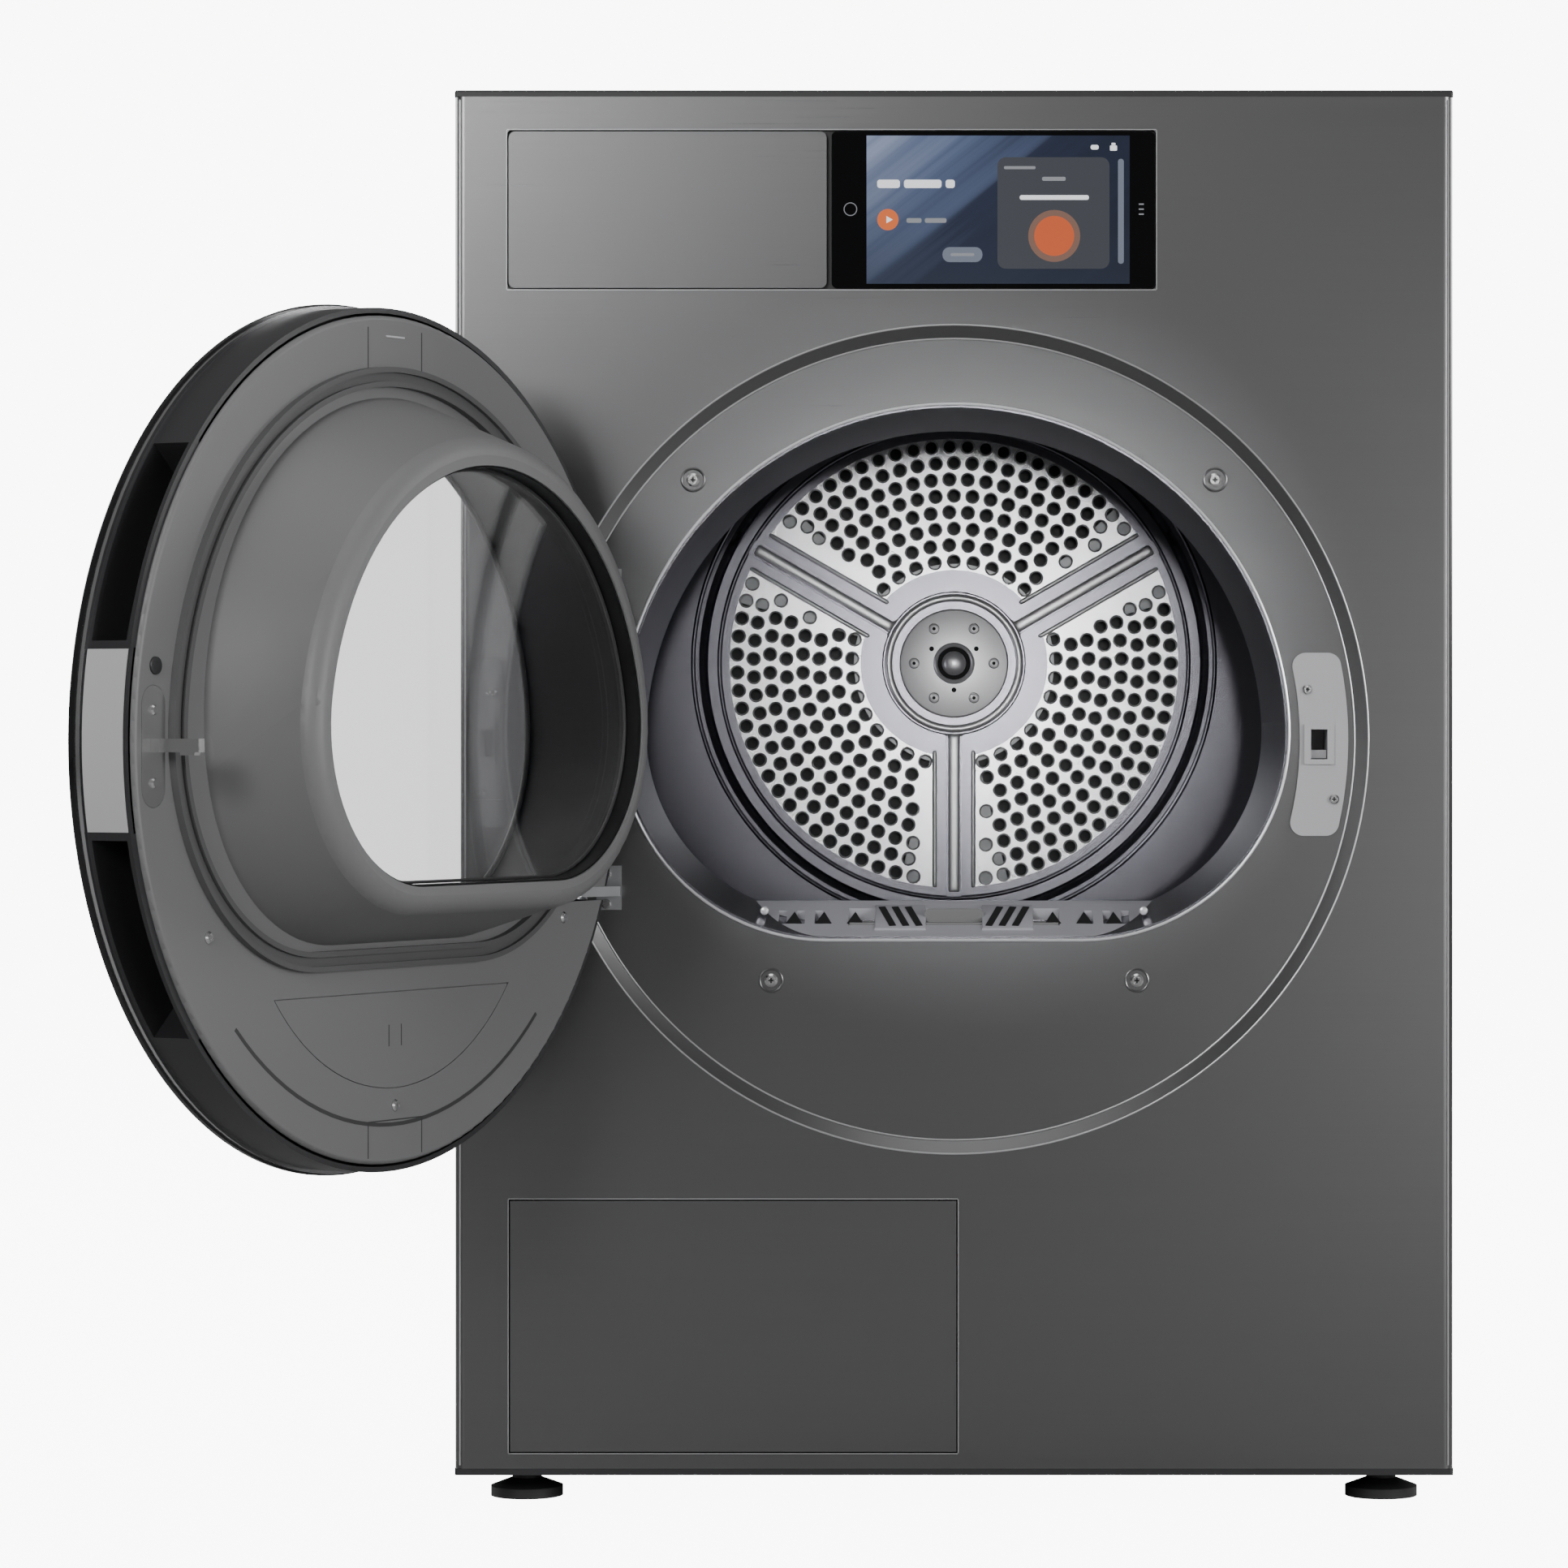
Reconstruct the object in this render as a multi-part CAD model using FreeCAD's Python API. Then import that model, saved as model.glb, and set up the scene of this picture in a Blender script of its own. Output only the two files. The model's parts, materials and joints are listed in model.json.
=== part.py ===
import FreeCAD, Part
import math
import os
from FreeCAD import Vector

# Heat-pump clothes dryer, millimetres. X to the right, Y to the back, Z up.
# The origin is on the floor, under the middle of the cabinet. The front faces -Y.
# The door is drawn closed and then turned open by doorOpenAngle, which is the rest position.

# ---- cabinet ----
bodyWidth = 600.0          # outside the side panels
bodyHeight = 850.0         # floor to the top of the cover
bodyDepth = 560.0          # front panel face to the rear duct cover
footHeight = 18.0          # floor to the underside of the base
baseFloor = 4.0            # thickness of the base tray's floor
topThick = 4.0             # visible edge of the top cover
sheet = 1.2                # folded steel sheet
panelEdgeRadius = 6.0      # rounded vertical edges of the front panel
panelReturn = 22.0         # how far the front panel folds back
ductOut = 18.0             # rear duct cover, out from the back panel
seatGap = 0.3              # gap between neighbouring covers

# ---- door ring and opening ----
ringZ = 460.0              # height of the door's centre
ringRadius = 249.0         # outer edge of the sunk ring
ringSlope = 8.0            # width of the ring's sloping step
ringDepth = 5.0            # how deep the ring is sunk
openRadius = 202.0         # round part of the D-shaped opening
openFlat = 121.0           # ring centre down to the opening's flat
openCorner = 125.0         # radius that joins the flat to the round part
collarTaper = 12.0         # how much smaller the collar is at its back
collarDepth = 68.0         # collar, from the front panel's face
collarFlange = 10.0        # collar flange behind the front panel

# ---- drum ----
drumZ = 512.0
drumRadius = 280.0
drumSheet = 1.2
drumGap = 14.0             # front bulkhead to the drum's front edge
drumRearRoom = 44.0        # drum rear edge to the back panel face
drumLip = 18.0             # folded front lip of the drum
dishStep = 6.0             # how far the rear plate's middle is set back
dishRadius = 177.0
grilleOut = 156.0
grilleIn = 65.0
spokeHalf = 15.0
holeRadius = 4.0
holePitch = 12.6
holeRow = 11.4
hubRadius = 49.0
hubPlateRadius = 38.0
shaftRadius = 15.0
runClear = 0.05            # radial running clearance of shafts and pins
rollerRadius = 30.0
rollerWidth = 20.0
rollerAxle = 6.0
rollerAngle = 36.0         # each side of the lowest point of the drum
rollGap = 0.3              # drum to roller, belt to drum
beltWidth = 9.0
beltThick = 2.2

# ---- control recess, tank drawer, display ----
recessLeft = 31.0          # from the cabinet's left side
recessTop = 23.4           # below the top of the cabinet
recessWidth = 391.0
recessHeight = 97.0
recessCorner = 5.0
drawerWidth = 194.0
lineGap = 1.5              # dark line round the drawer and the glass
glassThick = 2.5
screenWidth = 158.0
screenHeight = 89.0
screenShift = 3.0          # screen's centre, right of the glass's centre
tankLength = 420.0
tankWall = 2.5
tankClear = 4.0            # housing and drum above and below the tank

# ---- service flap and heat exchanger ----
flapLeft = 32.6            # from the cabinet's left side
flapLow = 30.5
flapPast = 2.2             # flap's right edge, past the cabinet's middle
flapHeight = 153.1
flapGap = 0.8
flapFootGap = 1.6
flapFold = 12.0
coverBack = 50.0           # exchanger cover, behind the front face
coverThick = 6.0
tunnelTop = 185.0
tunnelWall = 3.0

# ---- door ----
doorOpenAngle = 118.6
hingeX = -225.0
hingeOut = 25.0            # hinge axis, out from the front panel's face
hingeSpread = 91.0         # each hinge lug, above and below the door's centre
hingePin = 3.0
lugThick = 6.0
barrel = 5.0               # outside radius of the hinge knuckles
lugClear = 1.0
doorRadius = 243.0
glassOut = 38.0            # outer glass's face, out from the front panel's face
outerGlass = 4.0
rimThick = 3.0
frameRadius = 240.0
frameWall = 3.0
linerRadius = 235.5
linerThick = 3.0
bowlGap = 26.0             # bowl's base, inside the opening's round part
bowlFootGap = 9.0          # bowl's flat, above the opening's flat
bowlCornerGap = 10.0       # bowl's corner radius, less than the opening's
bowlLift = 14.0            # centre of the base's round part, above the door's centre
rimLess = 8.0              # bowl's rim, smaller in radius than its base
rimFootUp = 20.0           # rim's flat, above the base's flat
rimCornerLess = 15.0       # rim's corner radius, less than the base's
rimLift = -4.0             # centre of the rim's round part, above the door's centre
bowlDepth = 66.0
bowlEdge = 11.0            # rounding of the bowl's rim
windowLess = 13.0          # from the rim's outline to the window's hole
windowBack = 12.0          # window face, behind the bowl's rim
windowSeat = 4.0           # window's edge, past its hole
tunnelGap = 19.0           # see-through tunnel at the outer glass, inside the opening's round part
tunnelFootGap = 17.0       # the tunnel's flat, above the opening's flat
tunnelCornerGap = 17.0     # the tunnel's corner radius, less than the opening's
windowThick = 4.0
gripHalf = 49.0            # half the grip pad's height
pocketHeight = 105.0
pocketDeep = 28.0
latchX = 219.5
latchZ = 457.0
hookLength = 31.0

frontY = -bodyDepth / 2
backY = bodyDepth / 2 - ductOut
sideX = bodyWidth / 2
topZ = bodyHeight - topThick
panelLow = footHeight + baseFloor
bulkheadY = frontY + collarDepth - 2
drumFront = bulkheadY + sheet + drumGap
drumBack = backY - drumRearRoom
recessX = -sideX + recessLeft
recessZ = bodyHeight - recessTop - recessHeight
drawerX = recessX + drawerWidth
flapX = -sideX + flapLeft
flapWidth = sideX - flapLeft + flapPast
axisY = Vector(0, 1, 0)
floorY = frontY + ringDepth
baseShape = dict(round=openRadius - bowlGap, flat=openFlat - bowlFootGap + bowlLift,
                 corner=openCorner - bowlCornerGap, lift=bowlLift)
rimShape = dict(round=openRadius - bowlGap - rimLess, flat=openFlat - bowlFootGap - rimFootUp + rimLift,
                corner=openCorner - bowlCornerGap - rimCornerLess, lift=rimLift)
tunnelShape = dict(round=openRadius - tunnelGap, flat=openFlat - tunnelFootGap,
                   corner=openCorner - tunnelCornerGap, lift=0.0)
bulkheadLow = tunnelTop + 15
bulkheadFold = 12.0
rearBulkheadY = backY - 22
boreY = rearBulkheadY - 14
coverY = frontY + coverBack

nodes = {}


# ---- helpers ----
def keep(name, shape):
    nodes[name] = shape


def block(x0, x1, y0, y1, z0, z1):
    return Part.makeBox(x1 - x0, y1 - y0, z1 - z0, Vector(x0, y0, z0))


def rodY(r, x, z, y0, y1):
    return Part.makeCylinder(r, y1 - y0, Vector(x, y0, z), axisY)


def ringY(outer, inner, x, z, y0, y1):
    return rodY(outer, x, z, y0, y1).cut(rodY(inner, x, z, y0 - 1, y1 + 1))


def rodZ(r, x, y, z0, z1):
    return Part.makeCylinder(r, z1 - z0, Vector(x, y, z0), Vector(0, 0, 1))


def rodX(r, y, z, x0, x1):
    return Part.makeCylinder(r, x1 - x0, Vector(x0, y, z), Vector(1, 0, 0))


def joined(shapes):
    return shapes[0].multiFuse(shapes[1:]).removeSplitter() if len(shapes) > 1 else shapes[0]


def without(shape, tools):
    return shape.cut(tools) if tools else shape


def prism(points, y0, y1):
    # a flat outline of (x, z) points, pushed from y0 to y1
    path = [Vector(x, y0, z) for x, z in points]
    solid = Part.Face(Part.makePolygon(path + [path[0]])).extrude(Vector(0, y1 - y0, 0))
    if solid.Volume < 0:
        solid.reverse()
    return solid


def turned(points, x, z):
    # (radius, y) points turned about the Y axis through (x, z)
    path = [Vector(x + r, y, z) for r, y in points]
    face = Part.Face(Part.makePolygon(path + [path[0]]))
    return face.revolve(Vector(x, 0, z), axisY, 360)


def roundBox(x0, x1, y0, y1, z0, z1, r):
    # a box whose four edges along Y are rounded
    solid = block(x0, x1, y0, y1, z0, z1)
    edges = [e for e in solid.Edges if abs(e.tangentAt(e.FirstParameter).y) > 0.99]
    return solid.makeFillet(r, edges)


def dWire(inset, y, round=openRadius, flat=openFlat, corner=openCorner, lift=0.0):
    # the D-shaped outline: a circle cut flat at its foot, with rounded corners between
    R, h, f = round - inset, flat - inset, corner - inset
    cx, cz = math.sqrt((R - f) ** 2 - (h - f) ** 2), f - h
    side = math.atan2(cz, cx)

    def at(x, z):
        return Vector(x, y, ringZ + lift + z)

    def onCorner(angle, way):
        return at(way * (cx + f * math.cos(angle)), cz + f * math.sin(angle))

    middle = (side - math.pi / 2) / 2
    top = at(0, R)
    right, left = onCorner(side, 1), onCorner(side, -1)
    footR, footL = at(cx, -h), at(-cx, -h)
    edges = [Part.Arc(right, top, left).toShape(),
             Part.Arc(left, onCorner(middle, -1), footL).toShape(),
             Part.LineSegment(footL, footR).toShape(),
             Part.Arc(footR, onCorner(middle, 1), right).toShape()]
    return Part.Wire(edges)


def dPrism(inset, y0, y1, **shape):
    return Part.Face(dWire(inset, y0, **shape)).extrude(Vector(0, y1 - y0, 0))


def dLoft(inset0, y0, inset1, y1, shape0=None, shape1=None):
    wires = [dWire(inset0, y0, **(shape0 or {})), dWire(inset1, y1, **(shape1 or {}))]
    return Part.makeLoft(wires, True, True)


def screwY(x, z, face, r=4.0, length=8.0):
    # a pan-head screw driven along +Y, with its head on a face at y = face
    head = Part.makeCone(r * 0.7, r, 1.0, Vector(x, face - 2.0, z), axisY)
    return joined([head, rodY(r, x, z, face - 1.0, face), rodY(r * 0.5, x, z, face, face + length)])


# ---- cabinet shell ----
panelScrews = [(-157, 156), (157, 156), (-110, -145), (110, -145)]   # from the ring's centre
strikeScrews = [(-7, 33), (9, -33)]                                   # from the latch's centre


def collarInset(y):
    return collarTaper * (y - frontY) / collarDepth


def frontPanel():
    outer = block(-sideX, sideX, frontY, frontY + panelReturn, panelLow, topZ)
    inner = block(-sideX + sheet, sideX - sheet, frontY + sheet, frontY + panelReturn + 1,
                  panelLow - 1, topZ + 1)

    def upright(solid, r):
        edges = [e for e in solid.Edges
                 if abs(e.tangentAt(e.FirstParameter).z) > 0.99 and e.CenterOfMass.y < frontY + sheet + 0.1]
        return solid.makeFillet(r, edges)

    shell = upright(outer, panelEdgeRadius).cut(upright(inner, panelEdgeRadius - sheet))
    reach = sideX - panelEdgeRadius
    flanges = [block(-reach, reach, frontY + sheet / 2, frontY + 14, z, z + sheet)
               for z in (panelLow, topZ - sheet)]
    shell = joined([shell] + flanges)
    inner0 = ringRadius - ringSlope
    dish = turned([(0, floorY), (inner0, floorY), (ringRadius, frontY), (ringRadius + 1.5, frontY),
                   (ringRadius + 1.5, frontY + sheet), (ringRadius + 0.5, frontY + sheet),
                   (inner0 + 0.5, floorY + sheet), (0, floorY + sheet)], 0, ringZ)
    edges = [e for e in dish.Edges if e.Curve.TypeId == "Part::GeomCircle"
             and abs(e.CenterOfMass.y - floorY) < 0.01 and abs(e.Curve.Radius - inner0) < 0.01]
    dish = dish.makeFillet(2.0, edges)
    shell = joined([shell.cut(rodY(ringRadius + 1.5, 0, ringZ, frontY - 5, frontY + 10)), dish])
    holes = [dPrism(0, frontY - 5, frontY + 15),
             roundBox(recessX, recessX + recessWidth, frontY - 5, frontY + 10, recessZ,
                      recessZ + recessHeight, recessCorner),
             block(flapX, flapX + flapWidth, frontY - 5, frontY + 10, flapLow, flapLow + flapHeight),
             block(latchX - 7, latchX + 7, frontY, floorY + 5, latchZ - 14, latchZ + 12)]
    holes += [rodY(2.0, x, ringZ + z, frontY, floorY + 5) for x, z in panelScrews]
    holes += [rodY(2.0, latchX + x, latchZ + z, frontY, floorY + 5) for x, z in strikeScrews]
    holes += [rodY(2.0, x, ringZ + z, frontY, floorY + 5) for x, z in bracketScrews()]
    keep("front_panel", without(shell, holes))


def sidePanels():
    y0, y1 = frontY + panelReturn, backY
    for name, side in (("left_side_panel", -1), ("right_side_panel", 1)):
        def slab(inner, outer, ya, yb, za, zb):
            a, b = sorted((side * (sideX - inner), side * (sideX - outer)))
            return block(a, b, ya, yb, za, zb)

        pressY, pressZ = 70, 120       # margins of the pressed field
        deep = 4.0
        ya, yb, za, zb = bulkheadY + bulkheadFold + 14, y1 - pressY, panelLow + pressZ, topZ - pressZ
        wall = slab(sheet, 0, y0, y1, panelLow, topZ).cut(slab(sheet + 1, -1, ya, yb, za, zb))
        field = slab(deep + sheet, deep, ya - sheet, yb + sheet, za - sheet, zb + sheet)
        rim = slab(deep + sheet, 0, ya - sheet, yb + sheet, za - sheet, zb + sheet)
        rim = rim.cut(slab(deep + sheet + 1, -1, ya, yb, za, zb))
        lip = slab(18, 0, y1 - 2 * sheet, y1 - sheet, panelLow, topZ)
        keep(name, joined([wall, field, rim, lip]))


def topCover():
    y0, y1 = frontY, backY
    plate = block(-sideX, sideX, y0, y1, topZ, bodyHeight)
    edges = [e for e in plate.Edges if abs(e.CenterOfMass.z - bodyHeight) < 0.01]
    edges += [e for e in plate.Edges if abs(e.tangentAt(e.FirstParameter).z) > 0.99]
    plate = plate.makeFillet(1.5, edges)
    inset, deep, wide = 4.0, 10.0, 12.0
    a, b = sideX - inset, sideX - inset - wide
    rim = block(-a, a, y0 + 16, y1 - inset, topZ - deep, topZ)
    rim = rim.cut(block(-b, b, y0 + 16 + wide, y1 - inset - wide, topZ - deep - 1, topZ + 1))
    keep("top_cover", joined([plate, rim]))


def ductOutline(inset, y0, y1):
    # a round cover over the drum's rear with a channel down to the base
    r = 232.0 - inset
    channel = block(flapX + 18 + inset, flapX + 218 - inset, y0, y1, panelLow + 22 + inset, drumZ)
    return joined([rodY(r, 0, drumZ, y0, y1), channel])


def backPanel():
    plate = block(-sideX + sheet + seatGap, sideX - sheet - seatGap, backY - sheet, backY, panelLow, topZ)
    cuts = [ductOutline(14, backY - 5, backY + 5)]
    for row in range(9):
        z = panelLow + 40 + row * 16
        cuts.append(block(sideX - 190, sideX - 110, backY - 5, backY + 5, z, z + 6))
        cuts.append(block(sideX - 100, sideX - 60, backY - 5, backY + 5, z, z + 6))
    cuts.append(rodY(9.0, inletX, inletZ, backY - 5, backY + 5))
    keep("back_panel", without(plate, cuts))


def rearDuctCover():
    wall = 1.6
    dome = ductOutline(4, backY, backY + ductOut).cut(ductOutline(4 + wall, backY - 1, backY + ductOut - wall))
    flange = ductOutline(-8, backY, backY + wall).cut(ductOutline(4 + wall, backY - 1, backY + 5))
    rib = ringY(150, 146, 0, drumZ, backY + ductOut - wall - 3, backY + ductOut - wall)
    keep("rear_duct_cover", joined([dome, flange, rib]))


inletX = sideX - 60
inletZ = panelLow + 230


def powerInlet():
    body = roundBox(inletX - 22, inletX + 22, backY, backY + 9, inletZ - 14, inletZ + 14, 4)
    neck = rodY(8.8, inletX, inletZ, backY - 10, backY)
    bush = Part.makeCone(11, 8, 8, Vector(inletX, backY + 9, inletZ), axisY)
    bore = rodY(4.5, inletX, inletZ, backY - 15, backY + 20)
    keep("power_inlet", joined([body, neck, bush]).cut(bore))


feet = [(sx * (sideX - 40), y) for sx in (-1, 1) for y in (frontY + 45, backY - 45)]
stemRadius = 5.0
footPad = 22.0


def levellingFeet():
    stems = [joined([rodZ(footPad, x, y, 0, 6), Part.makeCone(footPad, 9, 5, Vector(x, y, 6)),
                     rodZ(9, x, y, 11, footHeight), rodZ(stemRadius, x, y, footHeight, panelLow + 12)])
             for x, y in feet]
    keep("levelling_feet", Part.makeCompound(stems))


tunnelX0, tunnelX1 = flapX + 4, flapX + flapWidth - 6
tunnelY0, tunnelY1 = frontY + 36, backY - sheet - 22 - 2
motorX, motorZ, motorRadius = 175.0, 140.0, 50.0
blowerY = bulkheadY + 22
blowerRadius, blowerWidth = 72.0, 34.0
motorY = blowerY + blowerWidth + 26
motorLength = 124.0
wellHalf = 66.0
wellY0, wellY1 = frontY + 22, frontY + 54


def baseTray():
    edge = 3.0
    floor = block(-sideX, sideX, frontY, backY, footHeight, panelLow)
    floorEdges = [e for e in floor.Edges if abs(e.tangentAt(e.FirstParameter).z) > 0.99]
    floor = floor.makeFillet(2.0, floorEdges)
    outer = block(-sideX + 6, sideX - 6, frontY + 24, backY - 4, panelLow, panelLow + 34)
    inner = block(-sideX + 6 + edge, sideX - 6 - edge, frontY + 24 + edge, backY - 4 - edge,
                  panelLow, panelLow + 35)
    rim = outer.cut(inner)
    w = tunnelWall
    tunnel = block(tunnelX0, tunnelX1, tunnelY0, tunnelY1, panelLow, tunnelTop)
    tunnel = tunnel.cut(block(tunnelX0 + w, tunnelX1 - w, tunnelY0 - 1, tunnelY1 + 1, panelLow + 16, tunnelTop - w))
    inlet = block(-wellHalf, tunnelX1 - w, wellY0, wellY1 + 12, tunnelTop - w - 1, tunnelTop + 1)
    casing = ringY(blowerRadius + 14, blowerRadius + 11, motorX, motorZ, blowerY - 6, blowerY + blowerWidth + 6)
    web = block(motorX - 60, motorX + 60, blowerY - 6, blowerY + blowerWidth + 6, panelLow, motorZ - 70)
    casingBack = ringY(blowerRadius + 14, 22, motorX, motorZ, blowerY + blowerWidth + 6, blowerY + blowerWidth + 9)
    web = web.cut(rodY(blowerRadius + 12, motorX, motorZ, blowerY - 7, blowerY + blowerWidth + 7))
    cradle = [block(motorX - 46, motorX + 46, motorY + dy, motorY + dy + 14, panelLow, motorZ)
              for dy in (10, motorLength - 24)]
    cradle = [c.cut(rodY(motorRadius + 2, motorX, motorZ, frontY, backY)) for c in cradle]
    tray = joined([floor, rim, tunnel, casing, casingBack, web] + cradle)
    stems = [rodZ(stemRadius, x, y, 0, 60) for x, y in feet]
    keep("base_tray", without(tray, [inlet] + stems))


# ---- bulkheads, collar and seals ----
def rollerPlaces():
    reach = drumRadius + rollGap + rollerRadius
    a = math.radians(rollerAngle)
    return [(-reach * math.sin(a), drumZ - reach * math.cos(a)), (reach * math.sin(a), drumZ - reach * math.cos(a))]


def frontBulkhead():
    y0, y1 = bulkheadY, bulkheadY + sheet
    plate = block(-sideX + sheet + seatGap, sideX - sheet - seatGap, y0, y1, bulkheadLow, topZ - 14)
    mouth = dPrism(collarInset(y0), y0 - 5, y1 + 5)
    bay = block(tankX0 - 4, tankX1 + 4, y0 - 5, y1 + 5, recessZ - 4, topZ)
    stubs = [rodY(rollerAxle, x, z, y1 - sheet / 2, y1 + rollerWidth + 8) for x, z in rollerPlaces()]
    collars = [rodY(rollerAxle + 4, x, z, y1 - sheet / 2, y1 + 3) for x, z in rollerPlaces()]
    flange = block(-sideX + sheet + seatGap, sideX - sheet - seatGap, y0, y0 + bulkheadFold, bulkheadLow,
                   bulkheadLow + sheet)
    keep("front_bulkhead", joined([without(plate, [mouth, bay]), flange] + stubs + collars))


def rollers():
    for name, (x, z) in zip(("roller_left", "roller_right"), rollerPlaces()):
        y0 = bulkheadY + sheet + 3 + rollGap
        wheel = ringY(rollerRadius, rollerAxle + runClear, x, z, y0, y0 + rollerWidth)
        rims = [ringY(rollerRadius - 5, rollerAxle + 6, x, z, y, y + 4) for y in (y0 - 1, y0 + rollerWidth - 3)]
        holes = [rodY(4.0, x + 16 * math.cos(k * math.pi / 3), z + 16 * math.sin(k * math.pi / 3), y0 - 2,
                      y0 + rollerWidth + 2) for k in range(6)]
        keep(name, without(wheel, rims + holes))


def openingCollar():
    y0, y1 = floorY + sheet, frontY + collarDepth
    outer = dLoft(collarInset(y0), y0, collarInset(y1), y1)
    inner = dLoft(collarInset(y0) + sheet, y0 - 0.01, collarInset(y1) + sheet, y1 + 0.01)
    flange = dPrism(-collarFlange, y0, y0 + sheet).cut(dPrism(collarInset(y0) + sheet / 2, y0 - 1, y0 + 5))
    keepOut = block(latchX - 14, latchX + 20, y0 - 1, y0 + 10, latchZ - 80, latchZ + 80)
    wall = outer.cut(inner)
    well = block(-wellHalf, wellHalf, wellY0, wellY1, ringZ - openFlat - 20, ringZ - openFlat + 30)
    screws = [rodY(2.0, x, ringZ + z, y0 - 1, y0 + 5) for x, z in bracketScrews()]
    keep("opening_collar", without(joined([wall, flange]), [well, keepOut.cut(outer)] + screws))


def feltSeal():
    y0, y1 = bulkheadY + sheet, drumFront - rollGap
    keep("front_felt_seal", ringY(drumRadius - 3, drumRadius - drumLip + 3, 0, drumZ, y0, y1))


lipRise = 22.0             # the lower lip climbs this much towards the drum


def lintFilterHousing():
    y0, y1 = floorY + sheet, frontY + collarDepth - 3
    low = ringZ - openFlat
    inside = dLoft(collarInset(y0) + sheet + 0.2, y0, collarInset(y1) + sheet + 0.2, y1)
    wedge = Part.Face(Part.makePolygon([Vector(-sideX, y0, low - 20), Vector(-sideX, y0, low + 1.5 + sheet),
                                        Vector(-sideX, y1, low + lipRise), Vector(-sideX, y1, low - 20),
                                        Vector(-sideX, y0, low - 20)])).extrude(Vector(2 * sideX, 0, 0))
    lip = inside.common(wedge)
    wall = 2.0
    well = block(-wellHalf, wellHalf, wellY0, wellY1, tunnelTop, low + 6)
    hole = block(-wellHalf + wall, wellHalf - wall, wellY0 + wall, wellY1 - wall, tunnelTop - 1, low + 40)
    slots = []
    for side in (-1, 1):
        for k in range(3):
            x = side * (wellHalf + 16 + k * 11)
            slots.append(block(x - 2.5, x + 2.5, y0 + 20, y0 + 42, low + 3, low + 40))
    keep("lint_filter_housing", without(joined([lip, well]), [hole] + slots))


def lintFilter():
    gap, bar = 0.8, 3.0
    x = wellHalf - 2.0 - gap
    y0, y1 = wellY0 + 2.0 + gap, wellY1 - 2.0 - gap
    low = ringZ - openFlat
    z0, z1 = tunnelTop + 18, low + 10
    frame = block(-x, x, y0, y1, z0, z1).cut(block(-x + bar, x - bar, y0 + bar, y1 - bar, z0 + bar, z1 - 8))
    bars = []
    for face in (y0 - 1, y1 - bar - 1):
        for k in range(4):
            a = -x + bar + 6 + k * (2 * x - 12 - 2 * bar) / 4
            bars.append(block(a, a + (2 * x - 12 - 2 * bar) / 4 - 5, face, face + bar + 2, z0 + 12, z1 - 16))
    grip = roundBox(-18, 18, (y0 + y1) / 2 - 3, (y0 + y1) / 2 + 3, z1, z1 + 8, 3)
    keep("lint_filter", joined([without(frame, bars), grip]))


def rearBulkhead():
    y0, y1 = rearBulkheadY, rearBulkheadY + sheet
    plate = block(-sideX + sheet + seatGap, sideX - sheet - seatGap, y0, y1, bulkheadLow, topZ - 14)
    cuts = [rodY(34.0, 0, drumZ, y0 - 5, y1 + 5)]
    for k in range(3):
        sector = ringY(grilleOut, grilleIn + 5, 0, drumZ, y0 - 5, y1 + 5)
        cuts.append(sector.common(wedgeY(30 + 120 * k + 14, 30 + 120 * k + 106, y0 - 5, y1 + 5)))
    keep("rear_bulkhead", without(plate, cuts))


def wedgeY(angle0, angle1, y0, y1, reach=400.0, x=0.0, z=None):
    # a slice of space between two angles about the drum's axis
    z = drumZ if z is None else z
    middle = (angle0 + angle1) / 2
    rays = [(x + reach * math.cos(math.radians(a)), z + reach * math.sin(math.radians(a)))
            for a in (angle0, middle, angle1)]
    return prism([(x, z)] + rays, y0, y1)


def shaftBearing():
    y0, y1 = boreY, rearBulkheadY
    body = ringY(30, shaftRadius + runClear, 0, drumZ, y0, y1 + 8)
    flange = ringY(44, 29, 0, drumZ, y1 - 3, y1)
    keep("shaft_bearing", joined([body, flange]))


# ---- drum ----
def drumShell():
    tube = ringY(drumRadius, drumRadius - drumSheet, 0, drumZ, drumFront, drumBack)
    lip = ringY(drumRadius - drumSheet / 2, drumRadius - drumLip, 0, drumZ, drumFront, drumFront + drumSheet)
    curl = ringY(drumRadius - drumLip + drumSheet, drumRadius - drumLip, 0, drumZ, drumFront, drumFront + 8)
    keep("drum_shell", joined([tube, lip, curl]))


def sectors(y0, y1, outer, inner, gapHalf):
    # three fan-shaped pieces between the spokes, whose sides run beside the spokes
    whole = ringY(outer, inner, 0, drumZ, y0, y1)
    spokes = []
    for k in range(3):
        bar = block(0, outer + 5, y0 - 1, y1 + 1, drumZ - gapHalf, drumZ + gapHalf)
        bar.rotate(Vector(0, 0, drumZ), axisY, -(30 + 120 * k))
        spokes.append(bar)
    return whole.cut(spokes)


plateY = drumBack - 6


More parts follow.
